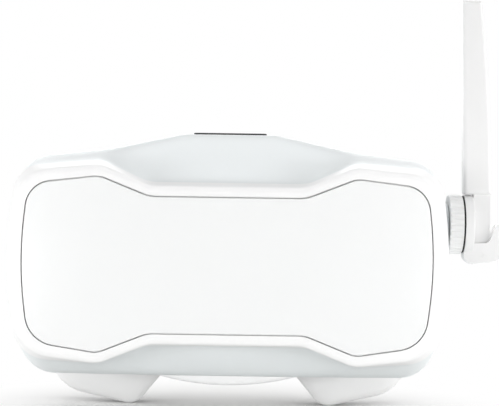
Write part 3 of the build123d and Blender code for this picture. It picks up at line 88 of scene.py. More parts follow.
camera = bpy.data.objects.new("camera", bpy.data.cameras.new("camera"))
scene.collection.objects.link(camera)
camera.data.sensor_width = SENSOR_WIDTH
camera.data.lens = FOCAL_LENGTH
camera.data.clip_start = NEAREST
camera.data.clip_end = FARTHEST
camera.location = CAMERA_PLACE
camera.rotation_mode = "QUATERNION"
sight = (CAMERA_AIM - CAMERA_PLACE).to_track_quat("-Z", "Y")
camera.rotation_quaternion = sight @ Quaternion((0, 0, 1), CAMERA_ROLL)
scene.camera = camera
print("camera at", [round(c / MM) for c in CAMERA_PLACE], "mm")

# %% [markdown]
# ## Small helpers for materials
# Colours are picked as on a screen, in sRGB hex, and Blender wants linear numbers, so
# one function turns one into the other. Another adds a node with its settings and
# links, which keeps each material short enough to read as a recipe. The third one
# starts an empty material.

# %% Helpers for colours and nodes
def linear(colour):
    """An sRGB hex colour, such as F4F4F2, as linear red, green, blue and alpha."""
    parts = [int(colour[i:i + 2], 16) / 255 for i in (0, 2, 4)]
    return [c / 12.92 if c <= 0.04045 else ((c + 0.055) / 1.055) ** 2.4 for c in parts] + [1]


def add_node(tree, kind, inputs=None, **settings):
    """Add a node. Each input is a value, or another node's output to link."""
    made = tree.nodes.new(kind)
    for name, value in settings.items():
        setattr(made, name, value)
    for socket, value in (inputs or {}).items():
        if isinstance(value, bpy.types.NodeSocket):
            tree.links.new(value, made.inputs[socket])
        else:
            made.inputs[socket].default_value = value
    return made


def new_material(name):
    """An empty material: its node tree and the output node."""
    material = bpy.data.materials.new(name)
    material.use_nodes = True
    material.node_tree.nodes.clear()
    tree = material.node_tree
    return material, tree, add_node(tree, "ShaderNodeOutputMaterial")


print("F4F4F2 is", [round(c, 3) for c in linear("F4F4F2")])

# %% [markdown]
# ## Studio
# White goggles on white are lit by a white tent. The world gives an even part. Large
# softboxes above and at both sides give the upper faces and the edges their tone, two
# low strips reach under the belly, which would else be lost in its own shadow, and one
# box stands behind. What the camera sees round the object is made white with Light
# Path, never with more light, so the white plastic itself doesn't burn out.

# %% The white tent
WORLD_STRENGTH = 0.335
WHITE = (1, 1, 1, 1)


def seen_rays(tree):
    """1 for what the camera sees, directly, through glass or in a gloss, and else 0."""
    path = add_node(tree, "ShaderNodeLightPath")
    seen = path.outputs["Is Camera Ray"]
    for ray in ("Is Transmission Ray", "Is Glossy Ray"):
        either = {0: seen, 1: path.outputs[ray]}
        seen = add_node(tree, "ShaderNodeMath", either, operation="MAXIMUM").outputs[0]
    return seen


world = bpy.data.worlds.new("tent")
scene.world = world
world.use_nodes = True
tree = world.node_tree
tree.nodes.clear()
strength = add_node(
    tree,
    "ShaderNodeMapRange",
    {"Value": seen_rays(tree), "To Min": WORLD_STRENGTH, "To Max": 1.0},
)
background = add_node(
    tree, "ShaderNodeBackground", {"Color": WHITE, "Strength": strength.outputs[0]}
)
add_node(tree, "ShaderNodeOutputWorld", {"Surface": background.outputs[0]})
print("light of the tent:", WORLD_STRENGTH)

# %% Softboxes and strips
# name, place, width and height, power in watts, and the point that it faces
LAMPS = [
    ("softbox_top", (0, -60, 800), (800, 500), 2.35, (0, -60, 0)),
    ("softbox_left", (-800, -60, 120), (500, 500), 1.6, (0, -60, 0)),
    ("softbox_right", (800, -60, 120), (500, 500), 2.2, (0, -60, 0)),
    ("strip_low_left", (-420, -520, -25), (400, 70), 1.2, (0, -30, -45)),
    ("strip_low_right", (420, -520, -25), (400, 70), 1.25, (0, -30, -45)),
    ("softbox_back", (0, 900, 350), (700, 500), 3.0, (0, 0, 0)),
]
for name, place, size, power, target in LAMPS:
    lamp = bpy.data.lights.new(name, "AREA")
    lamp.shape = "RECTANGLE"
    lamp.size = size[0] * MM
    lamp.size_y = size[1] * MM
    lamp.energy = power
    lamp_object = bpy.data.objects.new(name, lamp)
    scene.collection.objects.link(lamp_object)
    lamp_object.location = Vector(place) * MM
    towards = Vector(target) * MM - lamp_object.location
    lamp_object.rotation_mode = "QUATERNION"
    lamp_object.rotation_quaternion = towards.to_track_quat("-Z", "Y")
scene.view_settings.view_transform = "Standard"
print("lamps:", len(LAMPS))

# %% [markdown]
# ## Floor
# The goggles stand on a large sheet of white board. Near the object the board is a
# plain matt white, so it takes the shadow; far away it turns into the white of the
# tent. The change depends on the distance from the object's place, and it is only for
# what is seen: the light that the board throws back stays that of matt white.

# %% Lay the board
FLOOR_HALF = 4000 * MM
floor_z = cad_low.z
floor_mesh = bpy.data.meshes.new("floor")
corners = [
    (x * FLOOR_HALF, y * FLOOR_HALF, floor_z) for x, y in ((-1, -1), (1, -1), (1, 1), (-1, 1))
]
floor_mesh.from_pydata(corners, [], [(0, 1, 2, 3)])
floor = bpy.data.objects.new("floor", floor_mesh)
scene.collection.objects.link(floor)
print("floor at", round(floor_z / MM, 1), "mm")

# %% Matt white that fades into the tent
SHADOW_REACH = 40 * MM
WHITE_FROM = 140 * MM
white_board, tree, out = new_material("white_board")
place = add_node(tree, "ShaderNodeTexCoord")
middle = (cad_low + cad_high) / 2
centred = add_node(
    tree,
    "ShaderNodeVectorMath",
    {0: place.outputs["Object"], 1: (0, middle.y, floor_z)},
    operation="SUBTRACT",
)
distance = add_node(tree, "ShaderNodeVectorMath", {0: centred.outputs[0]}, operation="LENGTH")
far = add_node(
    tree,
    "ShaderNodeMapRange",
    {"Value": distance.outputs["Value"], "From Min": SHADOW_REACH, "From Max": WHITE_FROM},
    interpolation_type="SMOOTHSTEP",
)
blend = add_node(
    tree, "ShaderNodeMath", {0: far.outputs["Result"], 1: seen_rays(tree)}, operation="MULTIPLY"
)
board = add_node(tree, "ShaderNodeBsdfDiffuse", {"Color": linear("FBFBFA")})
white = add_node(tree, "ShaderNodeEmission", {"Color": WHITE, "Strength": 1.0})
mixed = add_node(
    tree, "ShaderNodeMixShader", {0: blend.outputs[0], 1: board.outputs[0], 2: white.outputs[0]}
)
tree.links.new(mixed.outputs[0], out.inputs["Surface"])
floor_mesh.materials.append(white_board)
print("board fades from", SHADOW_REACH / MM, "to", WHITE_FROM / MM, "mm")

# %% [markdown]
# ## Moulded plastics
# Nearly every part that shows is injection moulded. A mould skin, cut by sparks, leaves
# a fine satin grain, and the melt leaves faint clouds where it flowed. One recipe makes
# them all: a colour with clouds a few centimetres wide, a roughness that wanders a
# little, and a grain about a third of a millimetre wide, drawn at 0.7 mm so it shows.
# The front plate comes from a polished mould: it has no grain, only shallow waves, and
# a thin clear coat. Black parts show their clouds more than white ones. The epoxy of
# the chips is moulded as well, so the same recipe makes it.

# %% The recipe for moulded plastic
CLOUD_SIZE = 28 * MM
ROUGHNESS_WANDER = 0.04
ABS_IOR = 1.54


def moulded_plastic(name, colour, roughness, grain, height, clouds=0.02, coat=0.0):
    """Plastic from a spark-eroded mould, with flow clouds and a fine grain."""
    material, tree, out = new_material(name)
    place = add_node(tree, "ShaderNodeTexCoord")
    flow = add_node(
        tree,
        "ShaderNodeTexNoise",
        {
            "Vector": place.outputs["Object"],
            "Scale": 1 / CLOUD_SIZE,
            "Detail": 3.0,
            "Roughness": 0.6,
        },
    )
    full = linear(colour)
    shaded = [channel * (1 - clouds) for channel in full[:3]] + [1]
    paint = add_node(
        tree,
        "ShaderNodeMix",
        {0: flow.outputs["Fac"], 6: shaded, 7: full},
        data_type="RGBA",
    )
    rough = add_node(
        tree,
        "ShaderNodeMapRange",
        {
            "Value": flow.outputs["Fac"],
            "To Min": roughness - ROUGHNESS_WANDER,
            "To Max": roughness + ROUGHNESS_WANDER,
        },
    )
    skin = add_node(
        tree,
        "ShaderNodeTexNoise",
        {"Vector": place.outputs["Object"], "Scale": 1 / grain, "Detail": 2.0, "Roughness": 0.55},
    )
    bump = add_node(
        tree, "ShaderNodeBump", {"Height": skin.outputs["Fac"], "Distance": height, "Strength": 1.0}
    )
    shader = add_node(
        tree,
        "ShaderNodeBsdfPrincipled",
        {
            "Base Color": paint.outputs[2],
            "Roughness": rough.outputs["Result"],
            "Normal": bump.outputs["Normal"],
            "IOR": ABS_IOR,
            "Coat Weight": coat,
            "Coat Roughness": 0.15,
        },
    )
    tree.links.new(shader.outputs[0], out.inputs["Surface"])
    return material


# %% The plastics of the goggles
GRAIN = 0.7 * MM
shell_abs = moulded_plastic("white_abs_satin", "F4F4F4", 0.42, GRAIN, 0.012 * MM, clouds=0.012)
plate_abs = moulded_plastic(
    "white_abs_polished", "F0F1F1", 0.24, 1.6 * MM, 0.004 * MM, clouds=0.01, coat=0.3
)
# painted shade: the housing is made darker than the shell to stand in for the shade on its upward
# faces; its cool tint is its own
hump_abs_painted_shade = moulded_plastic("white_abs_housing_painted_shade", "EAEEEF", 0.45, GRAIN, 0.014 * MM, clouds=0.015)
frame_abs = moulded_plastic("white_abs_fine_spark", "F6F6F6", 0.55, GRAIN, 0.02 * MM)
antenna_abs = moulded_plastic("white_antenna_shell", "EAEAEA", 0.4, 0.9 * MM, 0.012 * MM)
black_abs = moulded_plastic("black_abs_spark", "1B1C1D", 0.5, GRAIN, 0.02 * MM, clouds=0.12)
key_abs = moulded_plastic("black_key_cap", "202123", 0.34, GRAIN, 0.008 * MM, clouds=0.06)
chip_epoxy = moulded_plastic("chip_epoxy", "17181A", 0.62, 0.5 * MM, 0.015 * MM, clouds=0.1)
plastics = [shell_abs, plate_abs, hump_abs_painted_shade, frame_abs, antenna_abs, black_abs, key_abs, chip_epoxy]
print("plastics:", [plastic.name for plastic in plastics])

# %% [markdown]
# ## Rubber and cable jacket
# The nose flap and the antenna's seal are black silicone: dull, a little grey where
# dust sits, with a soft skin that is never quite flat. The coaxial lead has a PVC
# jacket, smoother and a little shinier. Both are the same idea with other numbers:
# a fine noise for the dust and a wider one for the uneven skin.

# %% Silicone and PVC
SPECK_SIZE = 1.2 * MM
RUBBER_IOR = 1.41


def soft_rubber(name, colour, dust, roughness, skin_size, skin_height):
    """Soft, dull material with a dusty and slightly uneven skin."""
    material, tree, out = new_material(name)
    place = add_node(tree, "ShaderNodeTexCoord")
    specks = add_node(
        tree,
        "ShaderNodeTexNoise",
        {
            "Vector": place.outputs["Object"],
            "Scale": 1 / SPECK_SIZE,
            "Detail": 6.0,
            "Roughness": 0.7,
        },
    )
    dusty = add_node(
        tree,
        "ShaderNodeMapRange",
        {"Value": specks.outputs["Fac"], "From Min": 0.5, "From Max": 0.8},
    )
    paint = add_node(
        tree,
        "ShaderNodeMix",
        {0: dusty.outputs["Result"], 6: linear(colour), 7: linear(dust)},
        data_type="RGBA",
    )
    skin = add_node(
        tree,
        "ShaderNodeTexNoise",
        {"Vector": place.outputs["Object"], "Scale": 1 / skin_size, "Detail": 2.0},
    )
    bump = add_node(
        tree, "ShaderNodeBump", {"Height": skin.outputs["Fac"], "Distance": skin_height}
    )
    shader = add_node(
        tree,
        "ShaderNodeBsdfPrincipled",
        {
            "Base Color": paint.outputs[2],
            "Roughness": roughness,
            "Normal": bump.outputs["Normal"],
            "IOR": RUBBER_IOR,
        },
    )
    tree.links.new(shader.outputs[0], out.inputs["Surface"])
    return material


flap_silicone = soft_rubber("black_silicone", "1A1B1C", "3A3B3C", 0.62, 3 * MM, 0.08 * MM)
lead_pvc = soft_rubber("lead_pvc", "151617", "232425", 0.45, 2 * MM, 0.03 * MM)
print("rubber:", flap_silicone.name, lead_pvc.name)

# %% [markdown]
# ## Metals
# The screws are steel, blackened in a hot salt bath: dark, a little uneven, half dull.
# The sockets and the receiver's can are thin steel dipped in tin, rolled first, so they
# have faint lines along the sheet. The antenna jack is brass turned on a lathe and
# plated with gold, and the antenna's rod is drawn copper. A metal takes its whole
# colour from its reflections, so each has its own tone, roughness and fine tool marks.

# %% Blackened, tinned, turned and drawn metal
STAIN_SIZE = 4 * MM
MARK_CONTRAST = 0.08


def worked_metal(name, colour, stain, roughness, stretch, mark_height):
    """Bare metal with tool marks drawn out by stretch (x, y, z), in millimetres."""
    material, tree, out = new_material(name)
    place = add_node(tree, "ShaderNodeTexCoord")
    scaled = add_node(
        tree,
        "ShaderNodeMapping",
        {"Vector": place.outputs["Object"], "Scale": [1 / (side * MM) for side in stretch]},
    )
    marks = add_node(
        tree, "ShaderNodeTexNoise", {"Vector": scaled.outputs[0], "Scale": 1.0, "Detail": 3.0}
    )
    patches = add_node(
        tree,
        "ShaderNodeTexNoise",
        {"Vector": place.outputs["Object"], "Scale": 1 / STAIN_SIZE, "Detail": 2.0},
    )
    paint = add_node(
        tree,
        "ShaderNodeMix",
        {0: patches.outputs["Fac"], 6: linear(colour), 7: linear(stain)},
        data_type="RGBA",
    )
    rough = add_node(
        tree,
        "ShaderNodeMapRange",
        {
            "Value": marks.outputs["Fac"],
            "To Min": roughness - MARK_CONTRAST,
            "To Max": roughness + MARK_CONTRAST,
        },
    )
    bump = add_node(
        tree, "ShaderNodeBump", {"Height": marks.outputs["Fac"], "Distance": mark_height}
    )
    shader = add_node(
        tree,
        "ShaderNodeBsdfPrincipled",
        {
            "Base Color": paint.outputs[2],
            "Metallic": 1.0,
            "Roughness": rough.outputs["Result"],
            "Normal": bump.outputs["Normal"],
        },
    )
    tree.links.new(shader.outputs[0], out.inputs["Surface"])
    return material


screw_steel = worked_metal(
    "blackened_steel", "4A4A4D", "333336", 0.38, (0.4, 0.4, 0.4), 0.006 * MM
)
tinned_steel = worked_metal("tinned_steel", "C9CACC", "B4B6B9", 0.3, (6, 6, 0.3), 0.004 * MM)
gilt_brass = worked_metal(
    "gilt_turned_brass", "E3BE73", "D3A95C", 0.26, (0.25, 6, 6), 0.005 * MM
)
drawn_copper = worked_metal("drawn_copper", "D68F6D", "B9714F", 0.32, (0.3, 0.3, 9), 0.004 * MM)
metals = [screw_steel, tinned_steel, gilt_brass, drawn_copper]
print("metals:", [metal.name for metal in metals])

# %% [markdown]
# ## Circuit board
# A board is glass cloth in resin under green solder mask. Copper tracks run under the
# mask and show as slightly raised, slightly lighter lines on a square grid. A brick
# pattern with thin joints gives such lines in its own plane. Three of them, turned to
# the three planes, give lines both ways however the board stands.

# %% Solder-masked board
TRACK_PITCH = 2.4 * MM
TRACK_HEIGHT = 0.03 * MM
QUARTER = math.radians(90)
board_mask, tree, out = new_material("solder_masked_board")
place = add_node(tree, "ShaderNodeTexCoord")
heights = []
for turn in ((0, 0, 0), (0, QUARTER, 0), (QUARTER, 0, 0)):
    turned = add_node(
        tree, "ShaderNodeMapping", {"Vector": place.outputs["Object"], "Rotation": turn}
    )
    tracks = add_node(
        tree,
        "ShaderNodeTexBrick",
        {
            "Vector": turned.outputs[0],
            "Scale": 1 / TRACK_PITCH,
            "Mortar Size": 0.06,
            "Brick Width": 3.0,
            "Row Height": 0.5,
        },
    )
    heights.append(tracks.outputs["Fac"])
lines = heights[0]
for height in heights[1:]:
    either = {0: lines, 1: height}
    lines = add_node(tree, "ShaderNodeMath", either, operation="MAXIMUM").outputs[0]
paint = add_node(
    tree,
    "ShaderNodeMix",
    {0: lines, 6: linear("12402A"), 7: linear("2B6B45")},
    data_type="RGBA",
)
bump = add_node(tree, "ShaderNodeBump", {"Height": lines, "Distance": TRACK_HEIGHT})
shader = add_node(
    tree,
    "ShaderNodeBsdfPrincipled",
    {
        "Base Color": paint.outputs[2],
        "Roughness": 0.3,
        "Normal": bump.outputs["Normal"],
        "IOR": 1.52,
    },
)
tree.links.new(shader.outputs[0], out.inputs["Surface"])
print("board:", board_mask.name)

# %% [markdown]
# ## Battery wrap
# The cell is wrapped in PVC film that was shrunk on with hot air. It is smooth and
# glossy, with shallow wrinkles that run round the ends where it shrank most. The
# wrinkles are a noise drawn out along the cell. The colour is slate blue, with painted
# shade in the wrinkles' troughs and painted light on their crests.

# %% Shrunk PVC film
WRINKLE = (14 * MM, 4 * MM, 4 * MM)
WRINKLE_HEIGHT = 0.2 * MM
battery_film, tree, out = new_material("shrunk_pvc_wrap")
place = add_node(tree, "ShaderNodeTexCoord")
scaled = add_node(
    tree,
    "ShaderNodeMapping",
    {"Vector": place.outputs["Object"], "Scale": [1 / side for side in WRINKLE]},
)
wrinkles = add_node(
    tree, "ShaderNodeTexNoise", {"Vector": scaled.outputs[0], "Scale": 1.0, "Detail": 2.0}
)
# painted shade and light: the wrinkle height also sets the colour, darker in the troughs and
# lighter on the crests
paint = add_node(
    tree,
    "ShaderNodeMix",
    {0: wrinkles.outputs["Fac"], 6: linear("26344A"), 7: linear("33435C")},
    data_type="RGBA",
)
bump = add_node(
    tree, "ShaderNodeBump", {"Height": wrinkles.outputs["Fac"], "Distance": WRINKLE_HEIGHT}
)
shader = add_node(
    tree,
    "ShaderNodeBsdfPrincipled",
    {
        "Base Color": paint.outputs[2],
        "Roughness": 0.2,
        "Normal": bump.outputs["Normal"],
        "IOR": 1.53,
    },
)
tree.links.new(shader.outputs[0], out.inputs["Surface"])
print("wrap:", battery_film.name)

# %% [markdown]
# ## Display glass, lens and light pipe
# The display is a dark sheet of glass with a matt grey rim of ink behind its edge. The
# lens is a flat acrylic sheet whose back is cut in fine rings, which bend light as a
# thick lens would; the rings are 0.4 mm apart and drawn at 1.1 mm. The status lamp
# is a milky acrylic rod that carries light from the board to the panel.

# %% Dark glass with an inked rim
INKED_RIM = 3 * MM
display_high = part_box("display_panel")[1]
dark_glass, tree, out = new_material("display_glass")
place = add_node(tree, "ShaderNodeTexCoord")
axes = add_node(tree, "ShaderNodeSeparateXYZ", {0: place.outputs["Object"]})
near_edge = []
for axis, half in (("X", display_high.x), ("Z", display_high.z)):
    off_middle = add_node(tree, "ShaderNodeMath", {0: axes.outputs[axis]}, operation="ABSOLUTE")
    past = {0: off_middle.outputs[0], 1: half - INKED_RIM}
    near_edge.append(add_node(tree, "ShaderNodeMath", past, operation="GREATER_THAN").outputs[0])
either = {0: near_edge[0], 1: near_edge[1]}
inked = add_node(tree, "ShaderNodeMath", either, operation="MAXIMUM").outputs[0]
paint = add_node(
    tree,
    "ShaderNodeMix",
    {0: inked, 6: linear("0B0D12"), 7: linear("1E1F21")},
    data_type="RGBA",
)
rough = add_node(tree, "ShaderNodeMapRange", {"Value": inked, "To Min": 0.07, "To Max": 0.3})
shader = add_node(
    tree,
    "ShaderNodeBsdfPrincipled",
    {"Base Color": paint.outputs[2], "Roughness": rough.outputs["Result"], "IOR": 1.5},
)
tree.links.new(shader.outputs[0], out.inputs["Surface"])
print("display:", dark_glass.name)

# %% Acrylic with cut rings
RING_PITCH = 1.1 * MM
RING_DEPTH = 0.08 * MM
ACRYLIC_IOR = 1.49
ring_acrylic, tree, out = new_material("ring_cut_acrylic")
place = add_node(tree, "ShaderNodeTexCoord")
flat = add_node(
    tree,
    "ShaderNodeVectorMath",
    {0: place.outputs["Object"], 1: (1, 0, 1)},
    operation="MULTIPLY",
)
radius = add_node(tree, "ShaderNodeVectorMath", {0: flat.outputs[0]}, operation="LENGTH")
rings = add_node(
    tree, "ShaderNodeMath", {0: radius.outputs["Value"], 1: 1 / RING_PITCH}, operation="MULTIPLY"
)
saw = add_node(tree, "ShaderNodeMath", {0: rings.outputs[0]}, operation="FRACT")
bump = add_node(
    tree, "ShaderNodeBump", {"Height": saw.outputs[0], "Distance": RING_DEPTH, "Strength": 0.6}
)
shader = add_node(
    tree,
    "ShaderNodeBsdfPrincipled",
    {
        "Base Color": linear("F7F9FB"),
        "Roughness": 0.03,
        "Transmission Weight": 1.0,
        "Normal": bump.outputs["Normal"],
        "IOR": ACRYLIC_IOR,
    },
)
tree.links.new(shader.outputs[0], out.inputs["Surface"])
print("lens:", ring_acrylic.name)

# %% Milky light pipe
MILK_SIZE = 0.8 * MM
light_pipe, tree, out = new_material("milky_light_pipe")
place = add_node(tree, "ShaderNodeTexCoord")
milk = add_node(
    tree,
    "ShaderNodeTexNoise",
    {"Vector": place.outputs["Object"], "Scale": 1 / MILK_SIZE, "Detail": 2.0},
)
paint = add_node(
    tree,
    "ShaderNodeMix",
    {0: milk.outputs["Fac"], 6: linear("DDE3E0"), 7: linear("EEF2F0")},
    data_type="RGBA",
)
shader = add_node(
    tree,
    "ShaderNodeBsdfPrincipled",
    {
        "Base Color": paint.outputs[2],
        "Roughness": 0.35,
        "Transmission Weight": 0.45,
        "IOR": ACRYLIC_IOR,
    },
)
tree.links.new(shader.outputs[0], out.inputs["Surface"])
print("pipe:", light_pipe.name)

# %% [markdown]
# ## Knitted cover of the face cushion
# The cushion is open foam under a knitted polyester cover. Each loop of the knit is
# about 1 mm wide and is drawn at 1.5 mm, as a bulge between gaps that are painted dark
# as the shade that falls in them. A knit scatters light at its edge, which Sheen gives,
# and its fibres make it slightly uneven in tone. The cells are made in space, not on a
# flat map, so they go round the pad with no seam.

# %% Knit
LOOP = 1.5 * MM
LOOP_LENGTHENED = LOOP / 0.75
LOOP_HEIGHT = 0.35 * MM
TONE_SIZE = 6 * MM
knit, tree, out = new_material("knitted_polyester")
place = add_node(tree, "ShaderNodeTexCoord")
scaled = add_node(
    tree,
    "ShaderNodeMapping",
    {"Vector": place.outputs["Object"], "Scale": (1 / LOOP, 1 / LOOP, 1 / LOOP_LENGTHENED)},
)
loops = add_node(
    tree,
    "ShaderNodeTexVoronoi",
    {"Vector": scaled.outputs[0], "Scale": 1.0, "Randomness": 0.35},
)
tone = add_node(
    tree,
    "ShaderNodeTexNoise",
    {
        "Vector": place.outputs["Object"],
        "Scale": 1 / TONE_SIZE,
        "Detail": 4.0,
        "Roughness": 0.7,
    },
)
painted_gap_shade = add_node(
    tree,
    "ShaderNodeMapRange",
    {"Value": loops.outputs["Distance"], "From Min": 0.25, "From Max": 0.7},
)
thread = add_node(
    tree,
    "ShaderNodeMix",
    {0: tone.outputs["Fac"], 6: linear("2B2C2F"), 7: linear("3B3C40")},
    data_type="RGBA",
)
# painted shade: the gaps between the loops, where the bump sinks lowest, get a near-black colour
paint = add_node(
    tree,
    "ShaderNodeMix",
    {0: painted_gap_shade.outputs["Result"], 6: thread.outputs[2], 7: linear("141416")},
    data_type="RGBA",
)
height = add_node(
    tree, "ShaderNodeMath", {0: 1.0, 1: loops.outputs["Distance"]}, operation="SUBTRACT"
)
bump = add_node(
    tree,
    "ShaderNodeBump",
    {"Height": height.outputs[0], "Distance": LOOP_HEIGHT, "Strength": 0.8},
)
shader = add_node(
    tree,
    "ShaderNodeBsdfPrincipled",
    {
        "Base Color": paint.outputs[2],
        "Roughness": 0.9,
        "Sheen Weight": 0.35,
        "Sheen Roughness": 0.4,
        "Normal": bump.outputs["Normal"],
    },
)
tree.links.new(shader.outputs[0], out.inputs["Surface"])
print("cover:", knit.name)

# %% [markdown]
# ## Give every solid its finish
# The CAD record names a slot for each solid. Three solids differ from their slot: the
# plate is polished, the hump's half is a little cooler in tone and a little darker, the
# darkness being painted shade of its upward faces, and the steel fold pin is enamelled
# in the antenna's white, with the antenna's own finish. So a table goes by slot, and a
# short one by name comes before it.

# %% Hand out the materials
BY_SLOT = {
    "shell_white": shell_abs,
    "frame_white": frame_abs,
    "antenna_white": antenna_abs,
    "black_plastic": black_abs,
    "key_black": key_abs,
    "circuit_board": board_mask,
    "chip_black": chip_epoxy,
    "screw_steel": screw_steel,
    "connector_metal": tinned_steel,
    "brass_gold": gilt_brass,
    "copper": drawn_copper,
    "battery_wrap": battery_film,
    "display_glass": dark_glass,
    "lens_acrylic": ring_acrylic,
    "light_pipe": light_pipe,
    "cushion_foam": knit,
    "flap_rubber": flap_silicone,
    "cable_black": lead_pvc,
}
BY_NAME = {"faceplate": plate_abs, "main_housing": hump_abs_painted_shade, "fold_pin": antenna_abs}
for part in frame["record"]["subparts"]:
    solid = frame["nodes"][part["node"]]
    solid.material_slots[0].material = BY_NAME.get(part["node"], BY_SLOT[part["material_slot"]])

# %% [markdown]
# ## Working copies and Geometry Nodes
# A solid's own mesh never changes, so a piece that replaces it starts from a merged
# copy. What repeats is made by Geometry Nodes: the tree says the rule once, with the
# sizes as named inputs, and the result is kept as a plain mesh, because a file that
# leaves Blender can't carry the tree.

# %% Helpers for shapes
WELD_DISTANCE = 0.005 * MM


def merged_copy(node, name):
    """A solid's mesh with its doubles merged, as an object of its own."""
    mesh = frame["nodes"][node].data.copy()
    mesh.name = name
    shape = bmesh.new()
    shape.from_mesh(mesh)
    bmesh.ops.remove_doubles(shape, verts=shape.verts, dist=WELD_DISTANCE)
    shape.to_mesh(mesh)
    shape.free()
    made = bpy.data.objects.new(name, mesh)
    scene.collection.objects.link(made)
    return made


def keep_shape(made):
    """Turn what the modifiers make into the object's own plain mesh."""
    bpy.context.view_layer.update()
    evaluated = made.evaluated_get(bpy.context.evaluated_depsgraph_get())
    mesh = bpy.data.meshes.new_from_object(evaluated)
    made.modifiers.clear()
    made.data = mesh


def mesh_anew(made, voxel):
    """An even mesh, which bends and rounds better than a solid's long triangles."""
    remesh = made.modifiers.new("even_mesh", "REMESH")
    remesh.mode = "VOXEL"
    remesh.voxel_size = voxel
    keep_shape(made)


def soften(made, passes):
    """Each pass moves every point halfway to the middle of its neighbours."""
    smooth = made.modifiers.new("soften", "SMOOTH")
    smooth.factor = 0.5
    smooth.iterations = passes
    keep_shape(made)


def shade_smooth(made):
    """Smooth shading on every face."""
    made.data.polygons.foreach_set("use_smooth", [True] * len(made.data.polygons))


def cover_with(made, material):
    """One material all over, with smooth shading."""
    made.data.materials.clear()
    made.data.materials.append(material)
    shade_smooth(made)


print("solids to copy from:", len(frame["nodes"]))

# %% Helpers for Geometry Nodes
def open_tree(name, inputs):
    """A Geometry Nodes tree with named inputs, given as title and socket kind."""
    tree = bpy.data.node_groups.new(name, "GeometryNodeTree")
    tree.interface.new_socket("Geometry", in_out="INPUT", socket_type="NodeSocketGeometry")
    tree.interface.new_socket("Geometry", in_out="OUTPUT", socket_type="NodeSocketGeometry")
    for title, kind in inputs.items():
        tree.interface.new_socket(title, in_out="INPUT", socket_type="NodeSocket" + kind)
    return tree, add_node(tree, "NodeGroupInput").outputs, add_node(tree, "NodeGroupOutput")


def run_tree(made, tree, values):
    """Put the tree on an object, set its inputs, and keep the plain mesh."""
    modifier = made.modifiers.new(tree.name, "NODES")
    modifier.node_group = tree
    for item in tree.interface.items_tree:
        if item.in_out == "INPUT" and item.name in values:
            modifier[item.identifier] = values[item.name]
    keep_shape(made)


def close_tree(tree, given, out, shape):
    """End a tree: its copies made real, in the material that is given to it."""
    whole = add_node(tree, "GeometryNodeRealizeInstances", {0: shape})
    painted = add_node(
        tree,
        "GeometryNodeSetMaterial",
        {"Geometry": whole.outputs[0], "Material": given["Material"]},
    )
    tree.links.new(painted.outputs[0], out.inputs[0])


print("materials so far:", len(bpy.data.materials))

# %% [markdown]
# ## Face cushion
# The pad that rests on the face is a C-shaped band of soft foam in a knitted cover,
# glued to a plastic backing. Foam under a cover is crowned: it swells between its
# edges and its corners are round. A cloth simulation gives that. It starts from a
# slightly smaller copy with an even mesh, holds the glued side still, and blows the
# rest up a little. The copy is turned askew while it is meshed anew, because a long rim
# that nearly follows the grid would come out in steps. The simulation may move no point
# by more than 2.5 mm, so the pad keeps its place, and a last smoothing evens it out.

# %% Give the cushion an even mesh
FORWARDS = -0.5  # a face with less than this along Y looks forwards, to the glue
VOXEL = 2 * MM
ASKEW = Euler((0.5, 0.4, 0.6)).to_matrix().to_4x4()
ROUNDING_PASSES = 28

cushion = merged_copy("face_cushion", "face_pad")
glued_side = bmesh.new()
glued_side.from_mesh(cushion.data)
other_faces = [face for face in glued_side.faces if face.normal.y >= FORWARDS]
bmesh.ops.delete(glued_side, geom=other_faces, context="FACES")
glue = BVHTree.FromBMesh(glued_side)
glued_side.free()
cushion.data.transform(ASKEW)
mesh_anew(cushion, VOXEL)
soften(cushion, ROUNDING_PASSES)
cushion.data.transform(ASKEW.inverted())
print("even mesh:", len(cushion.data.vertices), "points")

# %% Shrink it, except towards the glue
SHRINK = 0.8 * MM
GLUE_REACH = 2.2 * MM
normals = [vertex.normal.copy() for vertex in cushion.data.vertices]
for vertex, normal in zip(cushion.data.vertices, normals):
    vertex.co -= Vector((normal.x, max(normal.y, 0), normal.z)) * SHRINK
glued = [v.index for v in cushion.data.vertices if glue.find_nearest(v.co)[3] < GLUE_REACH]
print("points held by the glue:", len(glued))

# %% Swell the foam
PRESSURE = 4.0
FRAMES = 20
MOST_MOVE = 2.5 * MM
LAST_PASSES = 4
start = [vertex.co.copy() for vertex in cushion.data.vertices]
cushion.vertex_groups.new(name="glued").add(glued, 1.0, "REPLACE")
cloth = cushion.modifiers.new("foam", "CLOTH")
cloth.settings.use_pressure = True
cloth.settings.uniform_pressure_force = PRESSURE
cloth.settings.vertex_group_mass = "glued"
cloth.settings.effector_weights.gravity = 0
cloth.point_cache.frame_start = 1
cloth.point_cache.frame_end = FRAMES
for number in range(1, FRAMES + 1):
    scene.frame_set(number)
keep_shape(cushion)
scene.frame_set(1)
for vertex, place in zip(cushion.data.vertices, start):
    move = vertex.co - place
    if move.length > MOST_MOVE:
        vertex.co = place + move.normalized() * MOST_MOVE
soften(cushion, LAST_PASSES)
finer = cushion.modifiers.new("finer", "SUBSURF")
finer.levels = 1
finer.render_levels = 1
keep_shape(cushion)
cushion.vertex_groups.clear()
cover_with(cushion, knit)
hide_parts("face_cushion")
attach(cushion, "goggles_body")
print("cushion faces:", len(cushion.data.polygons))

# %% [markdown]
# ## Piping and stitches of the cushion
# Where the knitted cover is turned over the backing it is closed with a thin piping,
# and a row of stitches runs 3 mm beside it. Both follow the rim of the glued side, so
# both trees start from it: they turn the rim's edges into a curve. One gives the curve
# a round profile. The other sets a short thread on every 4 mm, laid on the swollen
# cover. The thread is dull and a little dusty too, so the recipe for rubber makes it.

